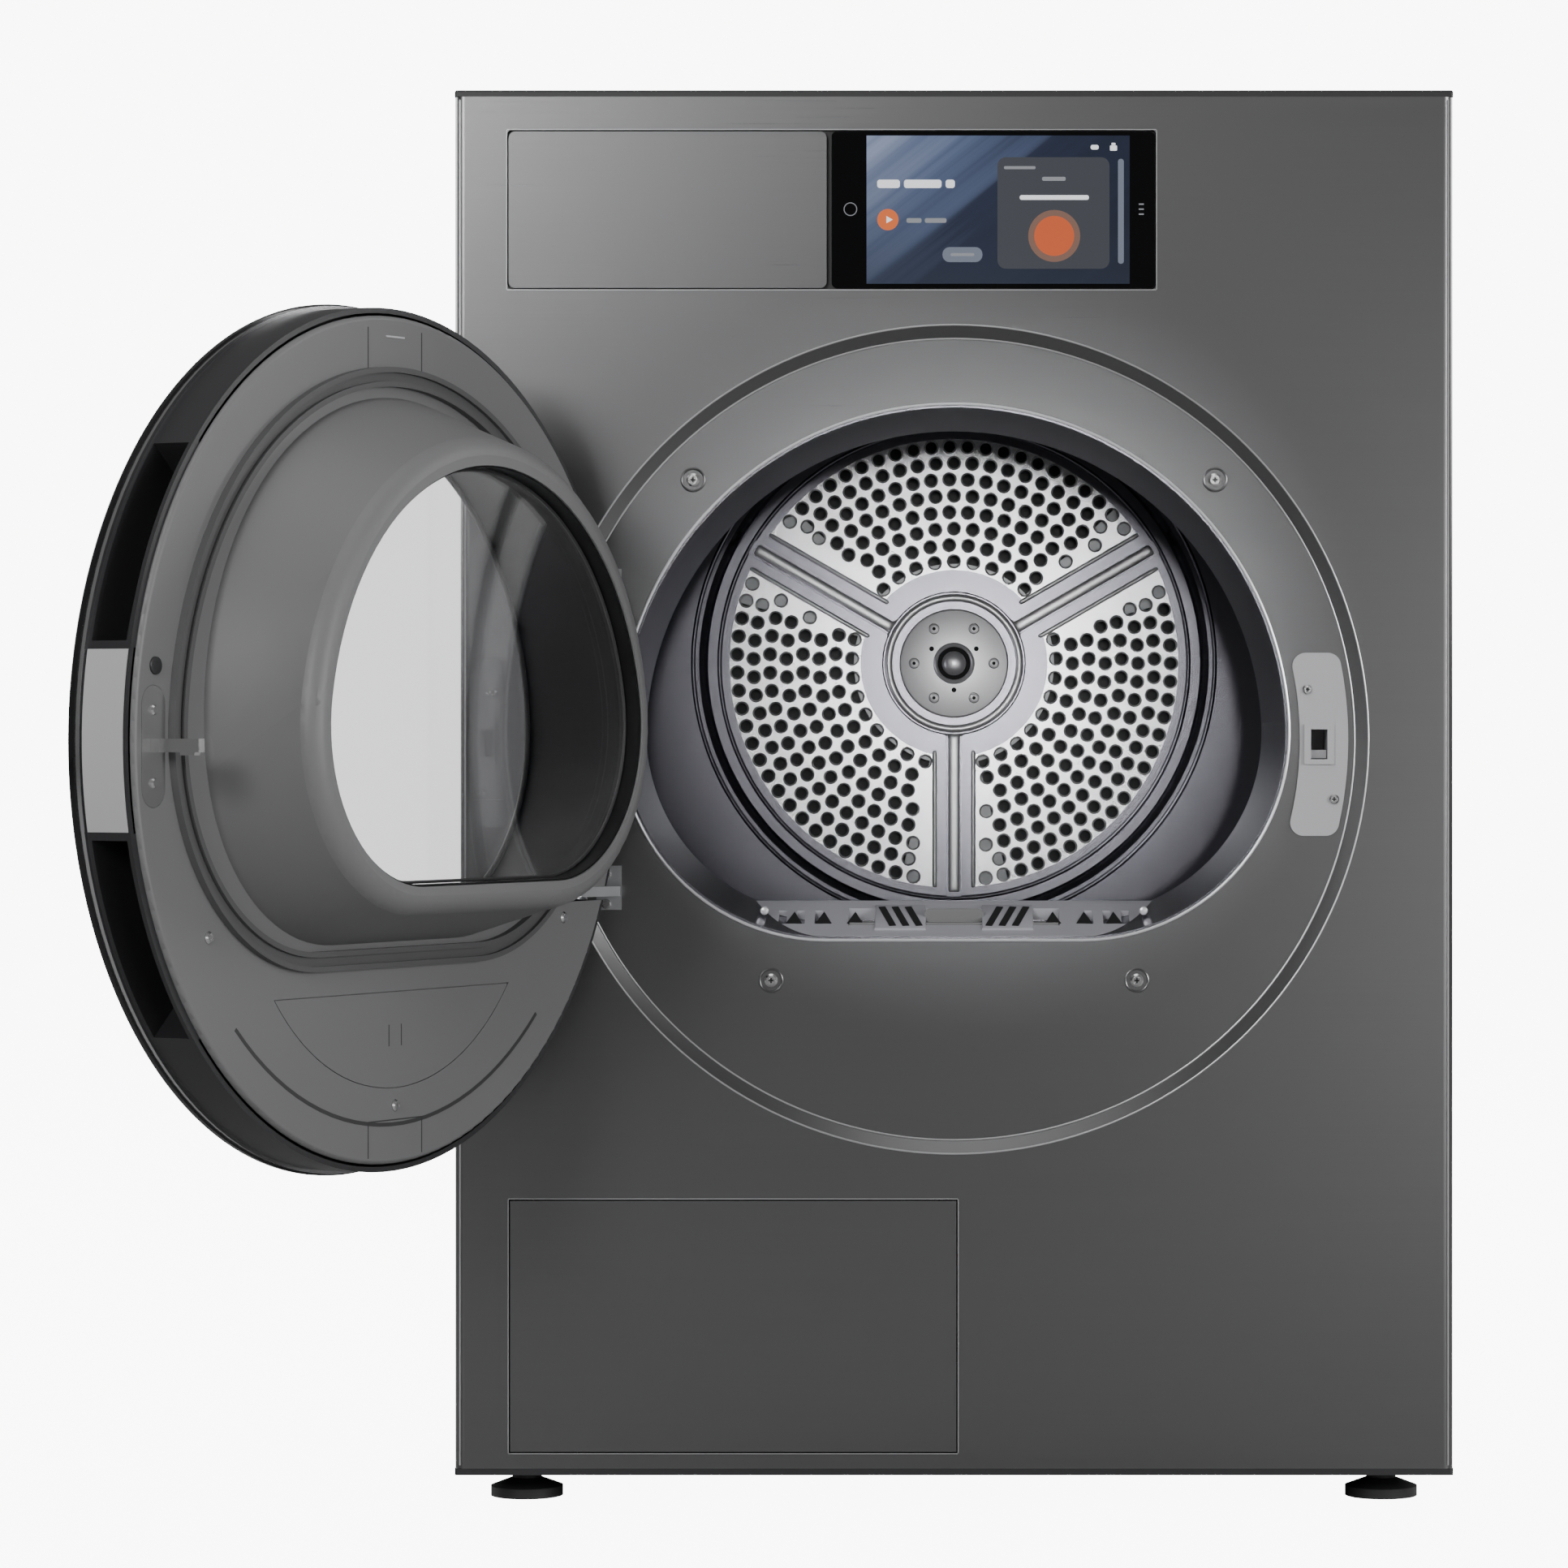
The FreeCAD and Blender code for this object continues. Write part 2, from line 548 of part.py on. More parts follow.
def drumRearPlate():
    t = drumSheet
    outer = drumRadius - drumSheet
    dish = turned([(shaftRadius + 8, plateY + dishStep), (dishRadius - 6, plateY + dishStep), (dishRadius, plateY),
                   (outer, plateY), (outer, plateY + 5), (outer - t, plateY + 5), (outer - t, plateY + t),
                   (dishRadius + 1, plateY + t), (dishRadius - 5, plateY + dishStep + t),
                   (shaftRadius + 8, plateY + dishStep + t)], 0, drumZ)
    windows = sectors(plateY - 5, plateY + dishStep + 5, grilleOut, grilleIn, spokeHalf)
    ribs = []
    for k in range(3):
        rib = block(hubRadius - 4, grilleOut + 6, plateY + 1, plateY + dishStep + 0.2, drumZ - 5, drumZ + 5)
        rib.rotate(Vector(0, 0, drumZ), axisY, -(30 + 120 * k))
        ribs.append(rib)
    hub = ringY(hubRadius, hubPlateRadius + 1.5, 0, drumZ, plateY - 1, plateY + dishStep + 0.2)
    keep("drum_rear_plate", joined([dish.cut(windows), hub] + ribs))


def drumGrille():
    y0 = plateY + dishStep + drumSheet
    y1 = y0 + 0.8
    plate = sectors(y0, y1, grilleOut + 4, grilleIn - 4, spokeHalf - 4)
    rows = int((grilleOut - grilleIn - 2 * holeRadius) / holeRow) + 1
    holes = []
    for row in range(rows):
        r = grilleIn + holeRadius + 2 + row * holeRow
        count = int(2 * math.pi * r / 3 / holePitch)
        for k in range(3):
            for i in range(count):
                a = math.radians(30 + 120 * k + (i + 0.5 + 0.25 * (row % 2)) * 120.0 / count)
                away = abs(r * math.sin(a - math.radians(30 + 120 * k)))
                other = abs(r * math.sin(math.radians(150 + 120 * k) - a))
                if min(away, other) > spokeHalf + holeRadius + 1 and r + holeRadius < grilleOut - 1:
                    holes.append(rodY(holeRadius, r * math.cos(a), drumZ + r * math.sin(a), y0 - 1, y1 + 1))
    keep("drum_grille", plate.cut(holes))


def hubPlate():
    y0 = plateY + 1
    disc = rodY(hubPlateRadius, 0, drumZ, y0, plateY + dishStep)
    boss = turned([(0, y0 - 9), (6, y0 - 9), (12, y0 - 4), (14, y0), (0, y0)], 0, drumZ)
    screws = [rodY(3.4, 27 * math.cos(math.radians(60 * k)), drumZ + 27 * math.sin(math.radians(60 * k)),
                   y0 - 1.6, y0) for k in range(6)]
    keep("hub_plate", joined([disc, boss] + screws))


def drumShaft():
    y0 = plateY + dishStep + drumSheet
    flange = rodY(grilleIn - 6, 0, drumZ, y0, boreY - 2.0)
    shaft = rodY(shaftRadius, 0, drumZ, boreY - 2.5, rearBulkheadY + 14)
    neck = rodY(shaftRadius + 8, 0, drumZ, plateY + dishStep, y0)
    keep("drum_shaft", joined([flange, shaft, neck]))


def drumLifters():
    high, half = 44.0, 30.0
    inner = drumRadius - drumSheet
    pieces = []
    for k in range(3):
        points = [(-half, -inner - 2), (-8, -inner + high - 5), (0, -inner + high), (8, -inner + high - 5),
                  (half, -inner - 2)]
        bar = prism([(x, z + drumZ) for x, z in points], drumFront + 16, plateY - 14)
        bar = bar.common(rodY(inner, 0, drumZ, drumFront, drumBack))
        bar.rotate(Vector(0, 0, drumZ), axisY, 120 * k)
        pieces.append(bar)
    keep("drum_lifters", Part.makeCompound(pieces))


# ---- drive ----
pulleyRadius = 11.0
idlerX, idlerRadius = 40.0, 14.0
idlerZ = drumZ - drumRadius - 54.0
beltY = motorY + motorLength + 12


def beltOutline(circles, grow, y0, y1):
    # the shape that a belt wraps: circles (x, z, r) in counterclockwise order seen from the front
    turns = []
    for (x0, z0, r0), (x1, z1, r1) in zip(circles, circles[1:] + circles[:1]):
        span = math.hypot(x1 - x0, z1 - z0)
        turns.append(math.atan2(z1 - z0, x1 - x0) - math.acos((r0 - r1) / span))

    def at(circle, angle):
        x, z, r = circle
        return Vector(x + (r + grow) * math.cos(angle), y0, z + (r + grow) * math.sin(angle))

    edges = []
    for i, circle in enumerate(circles):
        arrive, leave = turns[i - 1], turns[i]
        middle = arrive + ((leave - arrive) % (2 * math.pi)) / 2
        edges.append(Part.Arc(at(circle, arrive), at(circle, middle), at(circle, leave)).toShape())
        after = circles[(i + 1) % len(circles)]
        edges.append(Part.LineSegment(at(circle, leave), at(after, leave)).toShape())
    solid = Part.Face(Part.Wire(edges)).extrude(Vector(0, y1 - y0, 0))
    if solid.Volume < 0:
        solid.reverse()
    return solid


def driveBelt():
    circles = [(0, drumZ, drumRadius + rollGap), (idlerX, idlerZ, idlerRadius + rollGap),
               (motorX, motorZ, pulleyRadius + rollGap)]
    y0, y1 = beltY, beltY + beltWidth
    keep("drive_belt", beltOutline(circles, beltThick, y0, y1).cut(beltOutline(circles, 0, y0 - 1, y1 + 1)))


def driveMotor():
    x, z = motorX, motorZ
    y0, y1 = motorY, motorY + motorLength
    can = ringY(motorRadius, 5 + runClear, x, z, y0, y1)
    ends = [ringY(20, 5 + runClear, x, z, y0 - 5, y0), ringY(20, 5 + runClear, x, z, y1, y1 + 5)]
    ribs = [ringY(motorRadius + 1.8, motorRadius - 1, x, z, y0 + 30 + k * 12, y0 + 34 + k * 12) for k in range(6)]
    arm = block(idlerX - 6, x - 20, y1 - 16, y1 - 10, idlerZ - 8, idlerZ + 8)
    drop = block(x - 36, x - 20, y1 - 16, y1 - 10, z, idlerZ)
    stub = rodY(4, idlerX, idlerZ, y1 - 12, beltY + beltWidth + 4)
    keep("drive_motor", joined([can, arm, drop, stub] + ends + ribs))


def motorPulley():
    x, z = motorX, motorZ
    shaft = rodY(5, x, z, blowerY + 4, beltY + beltWidth + 3)
    pulley = rodY(pulleyRadius, x, z, beltY - 2, beltY + beltWidth + 2)
    rims = [rodY(pulleyRadius + 3.5, x, z, y, y + 1.5) for y in (beltY - 3.5, beltY + beltWidth + 2)]
    keep("motor_pulley", joined([shaft, pulley] + rims))


def blowerWheel():
    x, z = motorX, motorZ
    y0, y1 = blowerY, blowerY + blowerWidth
    back = ringY(blowerRadius, 5, x, z, y1 - 2, y1)
    front = ringY(blowerRadius, blowerRadius - 16, x, z, y0, y0 + 2)
    hub = ringY(14, 5, x, z, y0 + 8, y1)
    blades = []
    for k in range(24):
        blade = block(x + blowerRadius - 15, x + blowerRadius - 1, y0 + 1, y1 - 1, z - 1, z + 1)
        blade.rotate(Vector(x + blowerRadius - 8, 0, z), axisY, 35)
        blade.rotate(Vector(x, 0, z), axisY, 15 * k)
        blades.append(blade)
    keep("blower_wheel", joined([back, front, hub] + blades))


def idlerWheel():
    rim = ringY(idlerRadius, 4 + runClear, idlerX, idlerZ, beltY - 1, beltY + beltWidth + 1)
    groove = ringY(idlerRadius + 1, idlerRadius, idlerX, idlerZ, beltY, beltY + beltWidth)
    flanges = [ringY(idlerRadius + 2, idlerRadius - 1, idlerX, idlerZ, y, y + 1)
               for y in (beltY - 1.3, beltY + beltWidth + 0.3)]
    keep("idler_wheel", joined([rim.cut(groove)] + flanges))


# ---- heat pump ----
def coil(name, y0, y1):
    x0, x1 = tunnelX0 + tunnelWall + 2, tunnelX1 - tunnelWall - 2
    z0, z1 = panelLow + 16, tunnelTop - tunnelWall - 2
    fins, thick = 20, 1.6
    step = (x1 - x0 - thick) / fins
    plates = [block(x0 + k * step, x0 + k * step + thick, y0, y1, z0, z1) for k in range(fins + 1)]
    tubes = []
    for row in range(3):
        for col in range(2):
            y = y0 + (y1 - y0) * (0.3 + 0.4 * col)
            z = z0 + (z1 - z0) * (row + 0.5) / 3
            tubes.append(rodX(4.5, y, z, x0, x1))
    keep(name, joined(plates + tubes))


compressorX, compressorY, compressorRadius = 195.0, backY - 100, 58.0
compressorTop = 205.0


def compressor():
    x, y = compressorX, compressorY
    can = rodZ(compressorRadius, x, y, panelLow + 14, compressorTop)
    edges = [e for e in can.Edges if e.Curve.TypeId == "Part::GeomCircle"]
    can = can.makeFillet(16, edges)
    plate = block(x - 66, x + 66, y - 50, y + 50, panelLow + 8, panelLow + 11)
    column = rodZ(30, x, y, panelLow + 8, panelLow + 20)
    mounts = [rodZ(11, x + sx * 54, y + sy * 38, panelLow, panelLow + 8) for sx in (-1, 1) for sy in (-1, 1)]
    cap = rodZ(16, x, y, compressorTop - 2, compressorTop + 12)
    side = joined([rodZ(18, x - compressorRadius - 16, y, panelLow + 11, compressorTop - 40),
                   block(x - compressorRadius - 20, x - 20, y - 6, y + 6, panelLow + 50, panelLow + 62)])
    keep("compressor", joined([can, plate, column, cap, side] + mounts))


def pipe(points, r=4.0):
    # a bent tube: straight runs with ball elbows
    pieces = []
    for a, b in zip(points, points[1:]):
        va, vb = Vector(*a), Vector(*b)
        pieces.append(Part.makeCylinder(r, (vb - va).Length, va, vb - va))
    pieces += [Part.makeSphere(r, Vector(*p)) for p in points[1:-1]]
    return joined(pieces)


def refrigerantPipes():
    x, y = compressorX, compressorY
    high = compressorTop + 12
    wallX = tunnelX1
    hot = pipe([(x - 8, y, high), (x - 8, y, high + 12), (x - 8, y + 66, high + 12),
                (wallX + 30, y + 66, high + 12), (wallX + 30, y + 66, 150), (wallX, y + 66, 150)])
    cold = pipe([(x + 8, y, high), (x + 8, y, high + 6), (x + 8, y - 70, high + 6),
                 (wallX + 22, y - 70, high + 6), (wallX + 22, y - 70, 110), (wallX, y - 70, 110)])
    keep("refrigerant_pipes", Part.makeCompound([hot, cold]))


def condensatePump():
    x, y = tunnelX1 + 45, backY - 60
    bowl = block(x - 26, x + 26, y - 24, y + 24, panelLow, panelLow + 30)
    motor = rodZ(20, x, y, panelLow + 30, panelLow + 72)
    spout = rodX(5, y, panelLow + 20, x - 40, x - 26)
    keep("condensate_pump", joined([bowl, motor, spout]))


def exchangerCover():
    x0, x1 = tunnelX0 + 2, tunnelX1 - 2
    z0, z1 = panelLow + 18, tunnelTop - 4
    y0 = coverY
    plate = roundBox(x0 + 4, x1 - 4, y0, y0 + coverThick, z0, z1, 8)
    grip = roundBox((x0 + x1) / 2 - 40, (x0 + x1) / 2 + 40, y0 - 10, y0, (z0 + z1) / 2 - 8, (z0 + z1) / 2 + 8, 6)
    hollow = block((x0 + x1) / 2 - 34, (x0 + x1) / 2 + 34, y0 - 8, y0 - 1, (z0 + z1) / 2 - 20, (z0 + z1) / 2 + 4)
    pins = [rodY(5, x, leverZ(), y0 - 8, y0) for x in leverPlaces()]
    keep("heat_exchanger_cover", joined([plate, grip.cut(hollow)] + pins))


def leverPlaces():
    return [tunnelX0 + 34, tunnelX1 - 34]


def leverZ():
    return (panelLow + tunnelTop) / 2 + 24


def coverLevers():
    for name, x, way in zip(("cover_lever_left", "cover_lever_right"), leverPlaces(), (1, -1)):
        y0, y1 = coverY - 7, coverY - rollGap
        z = leverZ()
        knob = ringY(13, 5 + runClear, x, z, y0, y1)
        arm = block(x - 6, x + 6, y0, y1, z - 52, z - 10)
        tab = block(x - 10, x + 10, y0 - 3, y1 - 1, z - 56, z - 46)
        keep(name, joined([knob, arm, tab]))


flapPin = 2.5
flapAxisY, flapAxisZ = frontY + 5.0, flapLow + 6.5


def accessFlap():
    x0, x1 = flapX + flapGap, flapX + flapWidth - flapGap
    z0, z1 = flapLow + flapFootGap, flapLow + flapHeight - flapGap
    plate = block(x0, x1, frontY, frontY + sheet, z0, z1)
    edge = 3.0
    folds = block(x0 + edge, x1 - edge, frontY + sheet, frontY + flapFold, z0 + 12, z1 - edge)
    folds = folds.cut(block(x0 + edge + 2, x1 - edge - 2, frontY + sheet, frontY + flapFold + 1, z0 + 14, z1 - edge - 2))
    ears, bores = [], []
    for x in flapEars():
        ears.append(rodX(4.2, flapAxisY, flapAxisZ, x - 5, x + 5))
        ears.append(block(x - 5, x + 5, frontY + sheet, flapAxisY + 3, flapAxisZ, z0 + 14))
        bores.append(rodX(flapPin + runClear, flapAxisY, flapAxisZ, x - 6, x + 6))
    catch = block((x0 + x1) / 2 - 8, (x0 + x1) / 2 + 8, frontY + sheet, frontY + 16, z1 - 12, z1 - 8)
    body = joined([plate, folds, catch] + ears)
    trim = block(x0, x1, frontY - 1, frontY + 0.0, z0, z1)
    keep("access_flap", without(body, bores + [trim]))


def flapEars():
    return [flapX + 30, flapX + flapWidth - 30]


def flapHinge():
    pieces = []
    for x in flapEars():
        for side in (-1, 1):
            a, b = sorted((x + side * 5.6, x + side * 9.6))
            pieces.append(block(a, b, flapAxisY - 2, flapAxisY + 20, flapAxisZ - 2.2, flapAxisZ + 4))
        pieces.append(rodX(flapPin, flapAxisY, flapAxisZ, x - 9.6, x + 9.6))
        pieces.append(block(x - 9.6, x + 9.6, flapAxisY + 12, flapAxisY + 20, panelLow, flapAxisZ + 4))
    return pieces


# ---- controls and tank ----
tankX0, tankX1 = recessX + 7, drawerX - 7
tankZ0, tankZ1 = recessZ + 4, recessZ + recessHeight - 3


def drumSpace(grow):
    return rodY(drumRadius + grow, 0, drumZ, frontY - 100, backY + 100)


def tankBody(inset):
    y0, y1 = frontY + 14, frontY + 14 + tankLength
    slab = block(tankX0 + inset, tankX1 - inset, y0 + inset, y1 - inset, tankZ0 + inset, tankZ1 - inset)
    return slab.cut(drumSpace(3 * tankClear + inset))


def waterTank():
    body = tankBody(0).cut(tankBody(tankWall))
    y1 = frontY + 14 + tankLength
    filler = rodZ(8, tankX0 + 40, y1 - 40, tankZ1 - 10, tankZ1 + 10)
    carrier = block(tankX0, tankX1, frontY + glassThick, frontY + 14, tankZ0, tankZ1)
    carrier = carrier.cut(block(tankX0 + 3, tankX1 - 3, frontY + glassThick + 3, frontY + 15, tankZ0 + 3, tankZ1 - 3))
    keep("water_tank", joined([body.cut(filler), carrier]))


def tankFront():
    x0, x1 = recessX + lineGap, drawerX - lineGap
    z0, z1 = recessZ + lineGap, recessZ + recessHeight - lineGap
    keep("tank_front", roundBox(x0, x1, frontY, frontY + glassThick, z0, z1, recessCorner - 1))


def tankHousing():
    wall = 1.5
    gap = 1.0
    y0, y1 = frontY + 14, frontY + 14 + tankLength + gap + wall
    outer = block(tankX0 - gap - wall, tankX1 + gap + wall, y0, y1, tankZ0 - gap - wall, tankZ1 + gap)
    inner = block(tankX0 - gap, tankX1 + gap, y0 - 1, y1 - wall, tankZ0 - gap, tankZ1 + 20)
    outer = outer.cut(drumSpace(3 * tankClear - gap - wall))
    inner = inner.cut(drumSpace(3 * tankClear - gap))
    keep("tank_housing", outer.cut(inner))


def controlFascia():
    x0, x1 = recessX + 0.4, recessX + recessWidth - 0.4
    z0, z1 = recessZ + 0.4, recessZ + recessHeight - 0.4
    plate = roundBox(x0, x1, frontY + glassThick + 1, frontY + 10, z0, z1, recessCorner - 0.4)
    bay = block(tankX0 - 1, tankX1 + 1, frontY, frontY + 20, tankZ0 - 1, tankZ1 + 1)
    screenX = glassCentre() + screenShift
    seat = block(screenX - screenWidth / 2 - 0.5, screenX + screenWidth / 2 + 0.5, frontY, frontY + 20,
                 screenZ() - screenHeight / 2 - 0.5, screenZ() + screenHeight / 2 + 0.5)
    pads = [block(a, b, frontY + glassThick, frontY + glassThick + 1, z0 + 6, z1 - 6)
            for a, b in ((drawerX + 5, drawerX + 15), (x1 - 9, x1 - 3))]
    ears = [block(a, a + 12, frontY + 6, frontY + 8, z, z + 8) for a in (x0 - 8, x1 - 4) for z in (z0 + 10, z1 - 18)]
    keep("control_fascia", without(joined([plate] + pads + ears), [bay, seat]))


def glassCentre():
    return (drawerX + recessX + recessWidth) / 2


def screenZ():
    return recessZ + recessHeight / 2


def displayPieces():
    z0, z1 = recessZ + lineGap, recessZ + recessHeight - lineGap
    glass = roundBox(drawerX + lineGap, recessX + recessWidth - lineGap, frontY, frontY + glassThick, z0, z1,
                     recessCorner - 2)
    keep("display_glass", glass)
    x, z = glassCentre() + screenShift, screenZ()
    keep("display_panel", block(x - screenWidth / 2, x + screenWidth / 2, frontY + glassThick, frontY + glassThick + 4,
                                z - screenHeight / 2, z + screenHeight / 2))
    y0 = frontY + 13
    board = block(x - 84, x + 84, y0, y0 + 1.6, z - 42, z + 42)
    chips = [block(x + dx, x + dx + w, y0 + 1.6, y0 + 1.6 + d, z + dz, z + dz + w)
             for dx, dz, w, d in ((-60, -20, 24, 3), (-10, 6, 16, 2.5), (30, -30, 18, 12), (52, 8, 20, 9), (-70, 14, 12, 5))]
    posts = [rodY(3, x + sx * 82, z + sz * 38, frontY + 10, y0) for sx in (-1, 1) for sz in (-1, 1)]
    keep("control_board", joined([board] + chips + posts))


# ---- strike and screws ----
strikeFace = 2.0


def strikePlate():
    # a light plate that follows the ring, with a raised square frame round the catch's hole
    half = 55.0
    y0 = floorY - strikeFace
    rimOut = ringRadius - ringSlope - 4.0
    band = ringY(rimOut, rimOut - 29.0, 0, ringZ, y0, floorY)
    band = band.common(block(0, sideX, y0 - 1, floorY + 1, latchZ - half, latchZ + half))
    band = band.makeFillet(8.0, [e for e in band.Edges if abs(e.tangentAt(e.FirstParameter).y) > 0.99])
    frame = block(latchX - 9, latchX + 9, floorY - 3.8, floorY, latchZ - 12, latchZ + 12)
    box = block(latchX - 7, latchX + 7, floorY, floorY + 38, latchZ - 14, latchZ + 12)
    cage = block(latchX - 5, latchX + 5, floorY, floorY + 36, latchZ - 12, latchZ + 10)
    mouth = block(latchX - 5, latchX + 5, floorY - 10, floorY + 1, latchZ - 9, latchZ + 9)
    holes = [rodY(2.0, latchX + x, latchZ + z, y0 - 2, floorY + 2) for x, z in strikeScrews]
    keep("strike_plate", without(joined([band, frame, box]), [cage, mouth] + holes))


def strikeLatch():
    # the sprung jaw that the hook pushes down
    jaw = block(latchX - 4.6, latchX + 4.6, floorY + 3, floorY + 12, latchZ - 8.4, latchZ - 3.4)
    tail = block(latchX - 4.6, latchX + 4.6, floorY + 12, floorY + 30, latchZ - 8.4, latchZ - 6.4)
    keep("strike_latch", joined([jaw, tail]))


def bracketScrews():
    return [(hingeX + 16, way * (hingeSpread + up)) for way in (-1, 1) for up in (-10, 8)]


def frontScrews():
    heads = [screwY(x, ringZ + z, floorY) for x, z in panelScrews]
    heads += [screwY(latchX + x, latchZ + z, floorY - strikeFace, 3.0) for x, z in strikeScrews]
    heads += [screwY(x, ringZ + z, floorY - 2.0, 3.0) for x, z in bracketScrews()]
    keep("front_panel_screws", Part.makeCompound(heads))


# ---- door, drawn closed ----
def doorY(out):
    # a distance out from the front panel's face
    return frontY - out


def lugCuts(low, high):
    # room for the hinge lugs, which stay still while the door turns round them
    cuts = []
    for way in (-1, 1):
        z = ringZ + way * hingeSpread
        half = lugThick / 2 + lugClear
        cuts.append(block(hingeX - 30, hingeX + 46, doorY(high), doorY(low), z - half, z + half))
    return cuts


def outerGlassDisc():
    disc = rodY(doorRadius, 0, ringZ, doorY(glassOut), doorY(glassOut - outerGlass))
    edges = [e for e in disc.Edges if e.Curve.TypeId == "Part::GeomCircle"]
    keep("door_outer_glass", disc.makeFillet(1.2, edges))


def doorRim():
    y0 = doorY(glassOut - outerGlass)
    ring = ringY(doorRadius - 1.0, frameRadius - frameWall - 2, 0, ringZ, y0, y0 + rimThick)
    keep("door_rim", ring)


def pocketWedge(way, inner, outer, margin, y0, y1):
    low = math.degrees(math.asin((gripHalf + 2 - margin) / linerRadius))
    high = math.degrees(math.asin((gripHalf + pocketHeight + margin) / linerRadius))
    a0, a1 = (low, high) if way > 0 else (-high, -low)
    return ringY(outer, inner, 0, ringZ, y0, y1).common(wedgeY(a0, a1, y0 - 1, y1 + 1, z=ringZ))


def tunnelWire(grow, y):
    # the see-through tunnel widens from the window's seat to the outer glass
    t = (windowY() - y) / (windowY() - doorY(glassOut - outerGlass))
    near = dict(rimShape)
    for name in ("round", "flat", "corner"):
        near[name] -= windowLess - windowSeat
    return dWire(-grow, y, **{name: near[name] + (tunnelShape[name] - near[name]) * t for name in near})


def tunnelLoft(grow, y0, y1):
    return Part.makeLoft([tunnelWire(grow, y0), tunnelWire(grow, y1)], True, True)


def doorFrame():
    y0 = doorY(glassOut - outerGlass - rimThick)
    y1 = doorY(linerThick)
    body = rodY(frameRadius, 0, ringZ, y0, y1)
    hollow = rodY(frameRadius - frameWall, 0, ringZ, y0 + 2, y1 + 1)
    tunnel = tunnelLoft(frameWall, y0, y1)
    bore = tunnelLoft(0, y0 - 1, y1 + 1)
    pockets, voids = [], []
    for way in (-1, 1):
        pockets.append(pocketWedge(way, frameRadius - pocketDeep - frameWall, frameRadius, frameWall, y0, y1))
        voids.append(pocketWedge(way, frameRadius - pocketDeep, frameRadius + 9, 0, y0 + 2.5, y1 - 2.5))
    shell = joined([body.cut(hollow), tunnel] + pockets)
    arm = armSolid(0.4)
    seat = gripWedge(frameRadius - gripThick, frameRadius + 5)
    posts = [ringY(6, 1.6, x, ringZ + z, y0 + 2, y1) for x, z in linerScrews]
    shell = joined([shell] + posts)
    keep("door_frame", without(shell, [bore, seat, arm] + voids + lugCuts(-1, glassOut - outerGlass - rimThick + 1)))


gripThick = 1.8


def gripWedge(inner, outer):
    a = math.degrees(math.asin(gripHalf / linerRadius)) - 0.6
    y0 = doorY(glassOut - outerGlass - rimThick - 1)
    y1 = doorY(linerThick + 1)
    return ringY(outer, inner, 0, ringZ, y0, y1).common(wedgeY(-a, a, y0 - 1, y1 + 1, z=ringZ))


def doorGrip():
    keep("door_grip", gripWedge(frameRadius - gripThick, frameRadius + 0.6))


linerScrews = [(172, -104), (-172, -104), (0, -203)]
capHalf, capTop, capDrop = 113.0, -140.0, 53.0
capThick = 1.5


def capPrism(grow, y0, y1):
    # a half-moon: a circle's lower segment
    r = (capHalf ** 2 + capDrop ** 2) / (2 * capDrop)
    disc = rodY(r + grow, 0, ringZ + capTop - capDrop + r, y0, y1)
    half = block(-sideX, sideX, y0 - 1, y1 + 1, ringZ + capTop - capDrop - 20, ringZ + capTop + grow)
    return disc.common(half)


def latchPlatePrism(grow, y0, y1):
    r = 10.0 + grow
    z0, z1 = latchZ - 22, latchZ + 22
    return joined([rodY(r, latchX, z0, y0, y1), rodY(r, latchX, z1, y0, y1),
                   block(latchX - r, latchX + r, y0, y1, z0, z1)])


def doorLiner():
    y0, y1 = doorY(linerThick), doorY(0)
    disc = rodY(linerRadius, 0, ringZ, y0, y1)
    edges = [e for e in disc.Edges if abs(e.CenterOfMass.y - y1) < 0.01]
    disc = disc.makeFillet(2.5, edges)
    rimY = y1 + bowlDepth
    bowl = dLoft(0, y1, 0, rimY, baseShape, rimShape)
    bowl = bowl.makeFillet(bowlEdge, [e for e in bowl.Edges if abs(e.CenterOfMass.y - rimY) < 0.01])
    wall = linerThick
    inside = dLoft(wall, y0 - 1, wall, rimY - wall, baseShape, rimShape)
    ledge = tunnelLoft(wall, y0, rimY - 2)
    solid = joined([disc.cut(dPrism(wall, y0 - 1, y1 + 1, **baseShape)), bowl.cut(inside), ledge])
    cuts = [dPrism(windowLess, y0 - 5, rimY + 5, **rimShape),
            dPrism(windowLess - windowSeat, windowY() - 0.5, windowY() + windowThick, **rimShape),
            tunnelLoft(0, y0 - 1, windowY()), capPrism(0.5, y1 - capThick, y1 + 1),
            latchPlatePrism(0, y1 - 1.5, y1 + 1)]
    cuts += [rodY(1.6, x, ringZ + z, y0 - 1, y1 + 1) for x, z in linerScrews]
    cuts += [rodY(1.6, latchX, latchZ + z, y0 - 1, y1 + 1) for z in (-19, 19)]
    keep("door_liner", without(solid, cuts + lugCuts(-1, linerThick + 1)))


def windowY():
    return doorY(0) + bowlDepth - windowBack - windowThick


def doorWindow():
    keep("door_window", dPrism(windowLess - windowSeat + 0.2, windowY(), windowY() + windowThick, **rimShape))


gasketHigh = 4.4
gasketLip = 3.0


def doorGasket():
    y0 = doorY(0)
    outside, inside = -5.0, 6.0     # the flat ring's edges, inside the opening's outline
    ring = dPrism(outside, y0, y0 + 2).cut(dPrism(inside, y0 - 1, y0 + 3))
    lips = [dPrism(inset, y0, y0 + gasketHigh).cut(dPrism(inset + gasketLip, y0 - 1, y0 + 9))
            for inset in (outside, inside - gasketLip)]
    keep("door_gasket", joined([ring] + lips))


